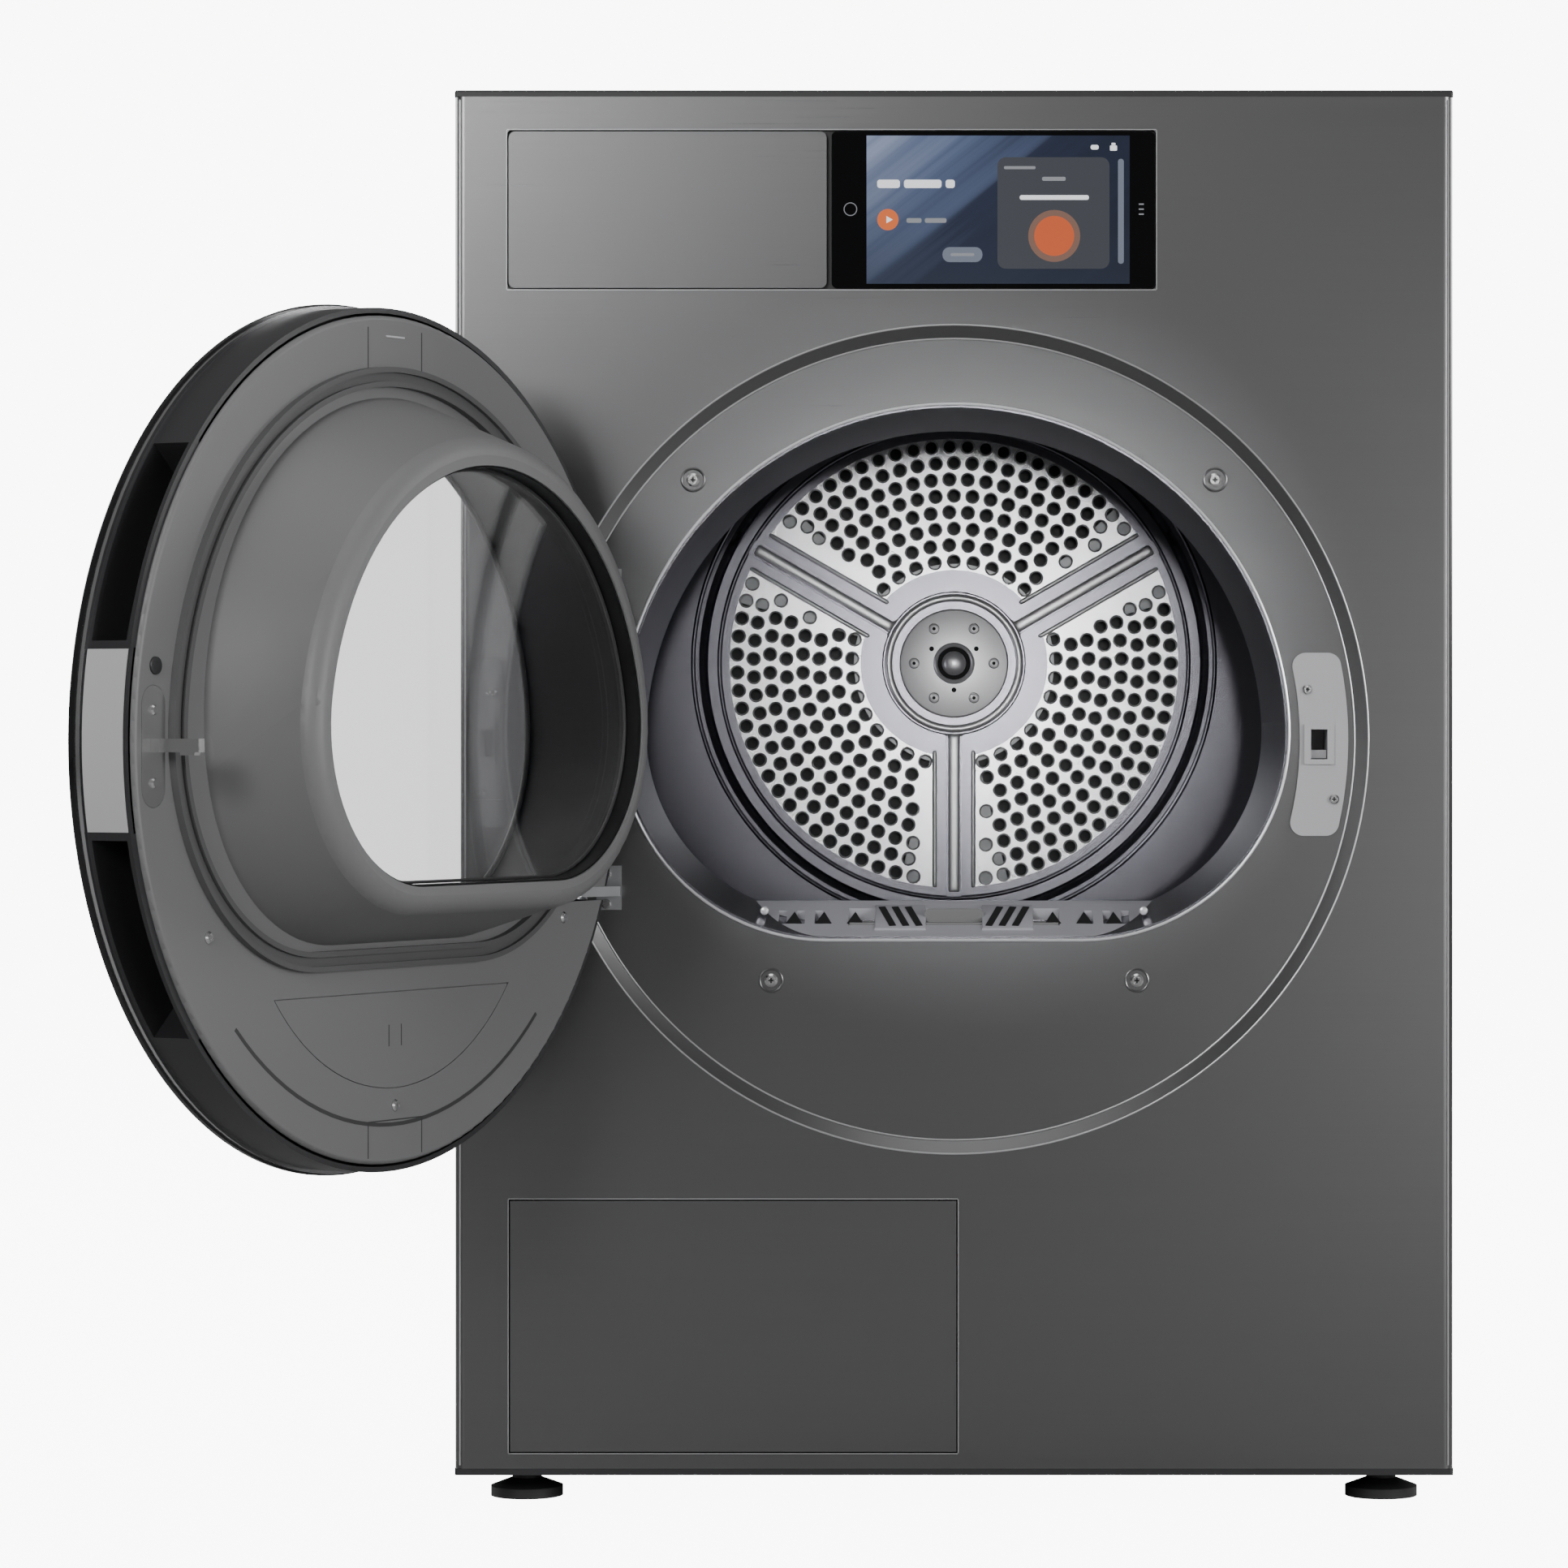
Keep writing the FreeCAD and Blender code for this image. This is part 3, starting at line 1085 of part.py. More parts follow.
def doorLatch():
    y1 = doorY(0)
    plate = latchPlatePrism(-0.2, y1 - 1.5, y1)
    stem = block(latchX - 2.5, latchX + 2.5, y1 - 1.5, y1 + hookLength, latchZ - 3, latchZ + 4)
    barb = Part.Face(Part.makePolygon([Vector(latchX - 2.5, y1 + hookLength, latchZ + 4),
                                       Vector(latchX - 2.5, y1 + hookLength - 3, latchZ - 4.6),
                                       Vector(latchX - 2.5, y1 + hookLength - 12, latchZ - 4.6),
                                       Vector(latchX - 2.5, y1 + hookLength - 12, latchZ + 4),
                                       Vector(latchX - 2.5, y1 + hookLength, latchZ + 4)])).extrude(Vector(5, 0, 0))
    holes = [rodY(1.6, latchX, latchZ + z, y1 - 3, y1 + 1) for z in (-19, 19)]
    keep("door_latch", without(joined([plate, stem, barb]), holes))


def armSolid(grow):
    # the door's half of the hinge: a barrel on each pin and a leaf inside the frame
    pieces = []
    y = doorY(hingeOut)
    for way in (-1, 1):
        z = ringZ + way * hingeSpread
        for end in (-1, 1):
            a, b = sorted((z + end * (lugThick / 2 + lugClear), z + end * (lugThick / 2 + lugClear + 14)))
            pieces.append(rodZ(barrel + grow, hingeX, y, a, b))
            pieces.append(block(hingeX, hingeX + 34, y - 3 - grow, y + 3 + grow, a, b))
    return joined(pieces)


def hingeArm():
    pieces = [armSolid(0.0)]
    y = doorY(hingeOut)
    web = doorY(glassOut - outerGlass - rimThick - 2)
    pieces.append(block(hingeX + 26, hingeX + 34, web, y + 3, ringZ - hingeSpread - 18, ringZ + hingeSpread + 18))
    pins = [rodZ(hingePin + runClear, hingeX, y, ringZ + way * hingeSpread - 30, ringZ + way * hingeSpread + 30)
            for way in (-1, 1)]
    keep("door_hinge_arm", without(joined(pieces), pins))


def hingeBracket():
    y = doorY(hingeOut)
    brackets = []
    for way in (-1, 1):
        z = ringZ + way * hingeSpread
        low, high = sorted((z - way * 15, z + way * 11.5))
        pieces = [block(hingeX + 10, hingeX + 25, floorY - 2, floorY, low, high)]
        z0, z1 = z - lugThick / 2, z + lugThick / 2
        pieces.append(rodZ(barrel, hingeX, y, z0, z1))
        outline = [(-4, -3), (3, -4), (25, floorY - y - 11), (25, floorY - y), (14, floorY - y), (11, floorY - y - 9),
                   (-3.5, 3.5)]
        path = [Vector(hingeX + dx, y + dy, z0) for dx, dy in outline]
        pieces.append(Part.Face(Part.makePolygon(path + [path[0]])).extrude(Vector(0, 0, lugThick)))
        pieces.append(rodZ(hingePin, hingeX, y, z0 - lugClear - 13, z1 + lugClear + 13))
        brackets.append(joined(pieces))
    holes = [rodY(1.9, x, ringZ + z, floorY - 5, floorY + 1) for x, z in bracketScrews()]
    keep("hinge_brackets", Part.makeCompound([without(bracket, holes) for bracket in brackets]))


def doorScrews():
    y1 = doorY(0)
    heads = []
    for x, z, r in [(x, ringZ + z, 3.4) for x, z in linerScrews] + [(latchX, latchZ + s, 2.8) for s in (-19, 19)]:
        head = Part.makeCone(r, r * 0.7, 1.0, Vector(x, y1 + 0.6, z), axisY)
        heads.append(joined([rodY(1.5, x, z, y1 - 6, y1), rodY(r, x, z, y1, y1 + 0.6), head]))
    keep("door_screws", Part.makeCompound(heads))


def serviceCap():
    y1 = doorY(0)
    keep("door_service_cap", capPrism(0, y1 - capThick, y1))


for build in (frontPanel, sidePanels, topCover, backPanel, rearDuctCover, powerInlet, levellingFeet, baseTray,
              frontBulkhead, rollers, openingCollar, feltSeal, lintFilterHousing, lintFilter, rearBulkhead,
              shaftBearing, drumShell, drumRearPlate, drumGrille, hubPlate, drumShaft, drumLifters, driveBelt,
              driveMotor, motorPulley, blowerWheel, idlerWheel, compressor, refrigerantPipes, condensatePump,
              exchangerCover, coverLevers, accessFlap, waterTank, tankFront, tankHousing, controlFascia,
              displayPieces, strikePlate, strikeLatch, frontScrews, hingeBracket):
    build()

tunnelLength = tunnelY1 - coverY - coverThick
coil("evaporator", coverY + coverThick + 14, coverY + coverThick + 14 + tunnelLength * 0.3)
coil("condenser", coverY + coverThick + 34 + tunnelLength * 0.3, coverY + coverThick + 34 + tunnelLength * 0.72)
nodes["base_tray"] = joined([nodes["base_tray"]] + flapHinge())

fixed = set(nodes)
for build in (outerGlassDisc, doorRim, doorFrame, doorGrip, doorLiner, doorWindow, doorGasket, doorLatch,
              hingeArm, doorScrews, serviceCap):
    build()
for name in nodes:
    if name not in fixed:
        nodes[name].rotate(Vector(hingeX, doorY(hingeOut), 0), Vector(0, 0, -1), doorOpenAngle)

os.makedirs("parts", exist_ok=True)
for name, shape in nodes.items():
    shape.exportStep("parts/" + name + ".step")
print(len(nodes), "nodes written")
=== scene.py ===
import bmesh
import bpy
import json
import math
from mathutils import Matrix, Vector


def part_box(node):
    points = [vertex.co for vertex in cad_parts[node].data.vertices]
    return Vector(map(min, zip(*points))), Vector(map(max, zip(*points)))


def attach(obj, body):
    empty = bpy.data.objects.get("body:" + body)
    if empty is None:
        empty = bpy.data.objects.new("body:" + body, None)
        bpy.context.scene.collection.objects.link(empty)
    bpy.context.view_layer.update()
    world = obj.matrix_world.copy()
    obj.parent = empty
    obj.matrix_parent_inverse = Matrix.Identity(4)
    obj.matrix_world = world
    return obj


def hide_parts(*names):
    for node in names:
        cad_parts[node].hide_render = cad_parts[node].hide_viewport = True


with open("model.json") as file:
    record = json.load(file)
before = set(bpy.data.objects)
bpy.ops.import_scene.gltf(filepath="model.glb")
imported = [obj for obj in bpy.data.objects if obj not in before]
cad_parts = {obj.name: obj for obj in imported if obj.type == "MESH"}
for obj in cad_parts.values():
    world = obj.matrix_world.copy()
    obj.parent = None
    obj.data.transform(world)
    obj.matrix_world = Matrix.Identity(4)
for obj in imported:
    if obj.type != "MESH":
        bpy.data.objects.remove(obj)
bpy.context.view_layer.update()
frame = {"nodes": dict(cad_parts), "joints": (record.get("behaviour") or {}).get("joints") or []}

# Clothes dryer with its door open. Metres, front towards -Y, door hinged on the left.
nodes = frame["nodes"]
hinge = next(j for j in frame["joints"] if j["name"] == "door_hinge")
cabinetLow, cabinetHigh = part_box("front_panel")
frontY = cabinetLow.y
ringZ = hinge["pos_m"][2]     # height of the door's middle
drumZ = 0.512     # height of the drum's axis
touch = 0.00001     # points closer than this count as one


# small helpers
def free():
    # nothing selected, object mode
    if bpy.context.object and bpy.context.object.mode != "OBJECT":
        bpy.ops.object.mode_set(mode="OBJECT")
    bpy.ops.object.select_all(action="DESELECT")


def hold(piece):
    free()
    piece.select_set(True)
    bpy.context.view_layer.objects.active = piece


def finish(piece, body, material, smooth=35):
    # the last steps of each new piece: faces outwards, shading, finish, body
    hold(piece)
    bpy.ops.object.transform_apply(location=True, rotation=True, scale=True)
    bpy.ops.object.mode_set(mode="EDIT")
    bpy.ops.mesh.select_all(action="SELECT")
    bpy.ops.mesh.remove_doubles(threshold=touch)
    bpy.ops.mesh.normals_make_consistent(inside=False)
    bpy.ops.object.mode_set(mode="OBJECT")
    bpy.ops.object.shade_smooth_by_angle(angle=math.radians(smooth))
    piece.data.materials.clear()
    piece.data.materials.append(material)
    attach(piece, body)
    return piece


# camera, light and floor
camera = {"away": 3.16, "high": 0.465, "lens": 120.8, "shift": (-0.1084, -0.0338)}
studio = {"backdrop": 9.0, "throughGlass": 0.2, "floorGlow": 9.0, "floorSize": 14,
          "ambient": 0.42, "ambientLow": 0.45, "ambientHigh": 0.55, "ambientTurn": 0.3,
          "keyPower": 47, "keyPlace": (-1.3, -3.35, 1.5), "keySize": 0.9,
          "fillPower": 9, "fillPlace": (1.25, -3.0, 0.22), "topPower": 12, "topPlace": (-0.2, -0.9, 2.6),
          "sidePower": 48, "sidePlace": (2.5, -2.3, 0.9),
          "drumPower": 48, "drumPlace": (0.05, -3.0, 0.55), "drumCone": 5.7,
          "behind": ((1.9, 2.7, 1.7, 75), (-2.7, 1.1, 1.5, 60), (2.8, 1.3, 1.5, 50))}


def buildCamera():
    bpy.ops.object.camera_add(location=(0, frontY - camera["away"], camera["high"]),
                              rotation=(math.radians(90), 0, 0))
    eye = bpy.context.object
    eye.data.lens = camera["lens"]
    eye.data.shift_x, eye.data.shift_y = camera["shift"]
    bpy.context.scene.camera = eye


def softbox(name, place, target, size, power):
    bpy.ops.object.light_add(type="AREA", location=place)
    lamp = bpy.context.object
    lamp.name = name
    lamp.data.size = size
    lamp.data.energy = power
    lamp.rotation_euler = (Vector(target) - Vector(place)).to_track_quat("-Z", "Y").to_euler()


def seenPlain(tree, seen):
    # rays from the camera, and at a lower strength those that came through the door's glass
    through = tree.nodes.new("ShaderNodeMath")
    through.operation = "MULTIPLY"
    through.inputs[1].default_value = studio["throughGlass"]
    tree.links.new(seen.outputs["Is Transmission Ray"], through.inputs[0])
    either = tree.nodes.new("ShaderNodeMath")
    either.operation = "MAXIMUM"
    tree.links.new(seen.outputs["Is Camera Ray"], either.inputs[0])
    tree.links.new(through.outputs[0], either.inputs[1])
    return either.outputs[0]


def drumSpot():
    # a narrow lamp through the opening, on the drum's back
    bpy.ops.object.light_add(type="SPOT", location=studio["drumPlace"])
    lamp = bpy.context.object
    lamp.name = "drumLight"
    lamp.data.energy = studio["drumPower"]
    lamp.data.spot_size = math.radians(studio["drumCone"])
    lamp.data.spot_blend = 0.35
    lamp.data.shadow_soft_size = 0.12
    lamp.rotation_euler = (Vector((0, 0.21, drumZ)) - lamp.location).to_track_quat("-Z", "Y").to_euler()


def buildStudio():
    drumSpot()
    softbox("keyLight", studio["keyPlace"], (-0.1, -0.28, 0.6), studio["keySize"], studio["keyPower"])
    softbox("fillLight", studio["fillPlace"], (0, -0.28, 0.4), 1.2, studio["fillPower"])
    softbox("sideLight", studio["sidePlace"], (-0.35, -0.6, ringZ), 1.0, studio["sidePower"])
    for number, (x, y, z, power) in enumerate(studio["behind"]):
        softbox("behindLight%d" % number, (x, y, z), (0, 0.1, 0.45), 1.5, power)
    softbox("topLight", studio["topPlace"], (0, -0.1, 0.5), 1.6, studio["topPower"])
    world = bpy.data.worlds.new("studioWorld")
    bpy.context.scene.world = world
    world.use_nodes = True
    tree = world.node_tree
    tree.nodes.clear()
    out = tree.nodes.new("ShaderNodeOutputWorld")
    mix = tree.nodes.new("ShaderNodeMixShader")
    seen = tree.nodes.new("ShaderNodeLightPath")
    backdrop = tree.nodes.new("ShaderNodeBackground")
    backdrop.inputs["Color"].default_value = (1, 1, 1, 1)
    backdrop.inputs["Strength"].default_value = studio["backdrop"]
    ambient = tree.nodes.new("ShaderNodeBackground")
    place = tree.nodes.new("ShaderNodeTexCoord")
    split = tree.nodes.new("ShaderNodeSeparateXYZ")
    ramp = tree.nodes.new("ShaderNodeMapRange")
    ramp.inputs["From Min"].default_value = -studio["ambientTurn"]
    ramp.inputs["From Max"].default_value = studio["ambientTurn"]
    ramp.inputs["To Min"].default_value = studio["ambient"] * studio["ambientLow"]
    ramp.inputs["To Max"].default_value = studio["ambient"] * studio["ambientHigh"]
    tree.links.new(place.outputs["Generated"], split.inputs[0])
    tree.links.new(split.outputs["Z"], ramp.inputs["Value"])
    tree.links.new(ramp.outputs["Result"], ambient.inputs["Strength"])
    tree.links.new(seenPlain(tree, seen), mix.inputs[0])
    tree.links.new(ambient.outputs[0], mix.inputs[1])
    tree.links.new(backdrop.outputs[0], mix.inputs[2])
    tree.links.new(mix.outputs[0], out.inputs[0])


def buildFloor():
    bpy.ops.mesh.primitive_plane_add(size=studio["floorSize"], location=(0, 0, -0.0005))
    floor = bpy.context.object
    floor.name = "studioFloor"
    paint = bpy.data.materials.new("paleFloor")
    paint.use_nodes = True
    tree = paint.node_tree
    shader = tree.nodes["Principled BSDF"]
    shader.inputs["Base Color"].default_value = (0.3, 0.3, 0.3, 1)
    shader.inputs["Roughness"].default_value = 0.6
    shader.inputs["Emission Color"].default_value = (1, 1, 1, 1)
    seen = tree.nodes.new("ShaderNodeLightPath")
    glow = tree.nodes.new("ShaderNodeMath")
    glow.operation = "MULTIPLY"
    glow.inputs[1].default_value = studio["floorGlow"]
    tree.links.new(seenPlain(tree, seen), glow.inputs[0])
    tree.links.new(glow.outputs[0], shader.inputs["Emission Strength"])
    floor.data.materials.append(paint)


buildCamera()
buildStudio()
buildFloor()
print("camera, light and floor ready")


# shared effects
def newGroup(name, inputs, outputs):
    group = bpy.data.node_groups.new(name, "ShaderNodeTree")
    for label, value in inputs.items():
        socket = group.interface.new_socket(label, in_out="INPUT", socket_type="NodeSocketFloat")
        socket.default_value = value
    for label, kind in outputs.items():
        group.interface.new_socket(label, in_out="OUTPUT", socket_type=kind)
    return group, group.nodes.new("NodeGroupInput"), group.nodes.new("NodeGroupOutput")


def mathNode(tree, operation, a, b=None, c=None):
    node = tree.nodes.new("ShaderNodeMath")
    node.operation = operation
    for index, value in enumerate((a, b, c)):
        if value is None:
            continue
        if isinstance(value, (int, float)):
            node.inputs[index].default_value = value
        else:
            tree.links.new(value, node.inputs[index])
    return node.outputs[0]


def makeGrain():
    # long fine scratches along X; Along and Across are how often they repeat in a metre
    group, start, end = newGroup("steelGrain", {"Along": 6.0, "Across": 2600.0, "Depth": 1.0, "Cloud": 1.5},
                                 {"Height": "NodeSocketFloat", "Shade": "NodeSocketFloat"})
    tree = group
    place = tree.nodes.new("ShaderNodeTexCoord")
    split = tree.nodes.new("ShaderNodeSeparateXYZ")
    tree.links.new(place.outputs["Object"], split.inputs[0])
    join = tree.nodes.new("ShaderNodeCombineXYZ")
    tree.links.new(mathNode(tree, "MULTIPLY", split.outputs["X"], start.outputs["Along"]), join.inputs[0])
    tree.links.new(mathNode(tree, "MULTIPLY", split.outputs["Y"], start.outputs["Across"]), join.inputs[1])
    tree.links.new(mathNode(tree, "MULTIPLY", split.outputs["Z"], start.outputs["Across"]), join.inputs[2])
    fine = tree.nodes.new("ShaderNodeTexNoise")
    fine.inputs["Scale"].default_value = 1.0
    fine.inputs["Detail"].default_value = 3.0
    tree.links.new(join.outputs[0], fine.inputs["Vector"])
    cloud = tree.nodes.new("ShaderNodeTexNoise")
    cloud.inputs["Detail"].default_value = 2.0
    tree.links.new(place.outputs["Object"], cloud.inputs["Vector"])
    tree.links.new(start.outputs["Cloud"], cloud.inputs["Scale"])
    height = mathNode(tree, "MULTIPLY", fine.outputs[0], start.outputs["Depth"])
    tree.links.new(height, end.inputs["Height"])
    shade = mathNode(tree, "ADD", mathNode(tree, "MULTIPLY", fine.outputs[0], 0.6),
                     mathNode(tree, "MULTIPLY", cloud.outputs[0], 0.4))
    tree.links.new(shade, end.inputs["Shade"])
    return group


def makeSpeckle():
    # the fine texture of moulded plastic and powder paint, with a slow cloud over it
    group, start, end = newGroup("mouldSpeckle", {"Fineness": 900.0, "Cloud": 6.0, "Depth": 1.0},
                                 {"Height": "NodeSocketFloat", "Shade": "NodeSocketFloat"})
    tree = group
    place = tree.nodes.new("ShaderNodeTexCoord")
    fine = tree.nodes.new("ShaderNodeTexNoise")
    fine.inputs["Detail"].default_value = 2.0
    tree.links.new(place.outputs["Object"], fine.inputs["Vector"])
    tree.links.new(start.outputs["Fineness"], fine.inputs["Scale"])
    cloud = tree.nodes.new("ShaderNodeTexNoise")
    cloud.inputs["Detail"].default_value = 3.0
    tree.links.new(place.outputs["Object"], cloud.inputs["Vector"])
    tree.links.new(start.outputs["Cloud"], cloud.inputs["Scale"])
    tree.links.new(mathNode(tree, "MULTIPLY", fine.outputs[0], start.outputs["Depth"]), end.inputs["Height"])
    tree.links.new(cloud.outputs[0], end.inputs["Shade"])
    return group


def makeRings():
    # turned marks round an axis along Y at height AxisHeight
    group, start, end = newGroup("turnedRings", {"AxisHeight": 0.512, "Pitch": 1600.0, "Depth": 1.0},
                                 {"Height": "NodeSocketFloat", "Shade": "NodeSocketFloat"})
    tree = group
    place = tree.nodes.new("ShaderNodeTexCoord")
    split = tree.nodes.new("ShaderNodeSeparateXYZ")
    tree.links.new(place.outputs["Object"], split.inputs[0])
    up = mathNode(tree, "SUBTRACT", split.outputs["Z"], start.outputs["AxisHeight"])
    across = mathNode(tree, "POWER", split.outputs["X"], 2.0)
    square = mathNode(tree, "ADD", mathNode(tree, "POWER", up, 2.0), across)
    radius = mathNode(tree, "SQRT", square)
    join = tree.nodes.new("ShaderNodeCombineXYZ")
    tree.links.new(mathNode(tree, "MULTIPLY", radius, start.outputs["Pitch"]), join.inputs[0])
    fine = tree.nodes.new("ShaderNodeTexNoise")
    fine.inputs["Scale"].default_value = 1.0
    fine.inputs["Detail"].default_value = 2.0
    tree.links.new(join.outputs[0], fine.inputs["Vector"])
    tree.links.new(mathNode(tree, "MULTIPLY", fine.outputs[0], start.outputs["Depth"]), end.inputs["Height"])
    tree.links.new(fine.outputs[0], end.inputs["Shade"])
    return group


effects = {"grain": makeGrain(), "speckle": makeSpeckle(), "rings": makeRings()}


def newFinish(name, colour, rough, metal=0.0, effect="speckle", values=None, tone=0.08, roughSpread=0.08,
              bump=0.15, bumpHeight=0.0002, fixed=None):
    # a Principled finish whose colour, roughness and bump vary with one shared effect
    material = bpy.data.materials.new(name)
    material.use_nodes = True
    tree = material.node_tree
    shader = tree.nodes["Principled BSDF"]
    shader.inputs["Metallic"].default_value = metal
    for label, value in (fixed or {}).items():
        shader.inputs[label].default_value = value
    pattern = tree.nodes.new("ShaderNodeGroup")
    pattern.node_tree = effects[effect]
    for label, value in (values or {}).items():
        pattern.inputs[label].default_value = value
    tint = tree.nodes.new("ShaderNodeMix")
    tint.data_type = "RGBA"
    tint.inputs["A"].default_value = (*[c * (1 - tone) for c in colour], 1)
    tint.inputs["B"].default_value = (*[min(1, c * (1 + tone)) for c in colour], 1)
    tree.links.new(pattern.outputs["Shade"], tint.inputs["Factor"])
    tree.links.new(tint.outputs["Result"], shader.inputs["Base Color"])
    spread = tree.nodes.new("ShaderNodeMapRange")
    spread.inputs["To Min"].default_value = rough - roughSpread / 2
    spread.inputs["To Max"].default_value = rough + roughSpread / 2
    tree.links.new(pattern.outputs["Shade"], spread.inputs["Value"])
    tree.links.new(spread.outputs["Result"], shader.inputs["Roughness"])
    if bump:
        relief = tree.nodes.new("ShaderNodeBump")
        relief.inputs["Strength"].default_value = bump
        relief.inputs["Distance"].default_value = bumpHeight
        tree.links.new(pattern.outputs["Height"], relief.inputs["Height"])
        tree.links.new(relief.outputs["Normal"], shader.inputs["Normal"])
    return material


def newGlow(name, colour, strength):
    # a lit mark on the screen, a little uneven as a real one is
    material = newFinish(name, [c * 0.1 for c in colour], 0.25, tone=0.1, bump=0.0,
                         fixed={"Emission Strength": strength})
    tree = material.node_tree
    tint = next(node for node in tree.nodes if node.bl_idname == "ShaderNodeMix")
    lit = tree.nodes.new("ShaderNodeMix")
    lit.data_type = "RGBA"
    lit.inputs["A"].default_value = (*[c * 0.93 for c in colour], 1)
    lit.inputs["B"].default_value = (*colour, 1)
    tree.links.new(tint.inputs["Factor"].links[0].from_socket, lit.inputs["Factor"])
    tree.links.new(lit.outputs["Result"], tree.nodes["Principled BSDF"].inputs["Emission Color"])
    return material


screenLow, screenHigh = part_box("display_panel")
sky = {"stops": ((0.0, (0.42, 0.5, 0.72)), (0.28, (0.15, 0.2, 0.35)), (0.5, (0.025, 0.034, 0.07)),
                 (1.0, (0.006, 0.008, 0.016))), "haze": (0.03, 0.038, 0.06), "strength": 0.62,
       "slantAcross": 7.0, "slantUp": 5.0, "streaks": 0.55}


def newSky():
    # the screen's picture: light at the upper left, with slanting streaks, dark at the right
    material = newFinish("screenSky", (0.01, 0.012, 0.02), 0.12, tone=0.05, bump=0.0,
                         fixed={"Emission Strength": sky["strength"]})
    tree = material.node_tree
    place = tree.nodes.new("ShaderNodeTexCoord")
    split = tree.nodes.new("ShaderNodeSeparateXYZ")
    tree.links.new(place.outputs["Object"], split.inputs[0])
    parts = []
    for axis, low, high in (("X", screenLow.x, screenHigh.x), ("Z", screenLow.z, screenHigh.z)):
        span = tree.nodes.new("ShaderNodeMapRange")
        span.inputs["From Min"].default_value = low
        span.inputs["From Max"].default_value = high
        tree.links.new(split.outputs[axis], span.inputs["Value"])
        parts.append(span.outputs["Result"])
    across, up = parts
    down = mathNode(tree, "SUBTRACT", 1.0, up)
    slant = mathNode(tree, "SUBTRACT", mathNode(tree, "MULTIPLY", across, sky["slantAcross"]),
                     mathNode(tree, "MULTIPLY", up, sky["slantUp"]))
    streak = tree.nodes.new("ShaderNodeTexNoise")
    streak.noise_dimensions = "1D"
    streak.inputs["Scale"].default_value = 1.0
    streak.inputs["Detail"].default_value = 3.0
    tree.links.new(slant, streak.inputs["W"])
    where = mathNode(tree, "ADD", mathNode(tree, "MULTIPLY", across, 0.75),
                     mathNode(tree, "MULTIPLY", down, 0.3))
    wander = mathNode(tree, "SUBTRACT", streak.outputs[0], 0.5)
    where = mathNode(tree, "ADD", where, mathNode(tree, "MULTIPLY", wander, sky["streaks"]))
    ramp = tree.nodes.new("ShaderNodeValToRGB")
    for stop, (spot, colour) in enumerate(sky["stops"]):
        element = ramp.color_ramp.elements[stop] if stop < 2 else ramp.color_ramp.elements.new(spot)
        element.position = spot
        element.color = (*colour, 1)
    tree.links.new(where, ramp.inputs[0])
    haze = tree.nodes.new("ShaderNodeMix")
    haze.data_type = "RGBA"
    haze.inputs["B"].default_value = (*sky["haze"], 1)
    fade = mathNode(tree, "MULTIPLY", mathNode(tree, "POWER", down, 1.5), 0.75)
    tree.links.new(fade, haze.inputs["Factor"])
    tree.links.new(ramp.outputs[0], haze.inputs["A"])
    tree.links.new(haze.outputs["Result"], tree.nodes["Principled BSDF"].inputs["Emission Color"])
    return material


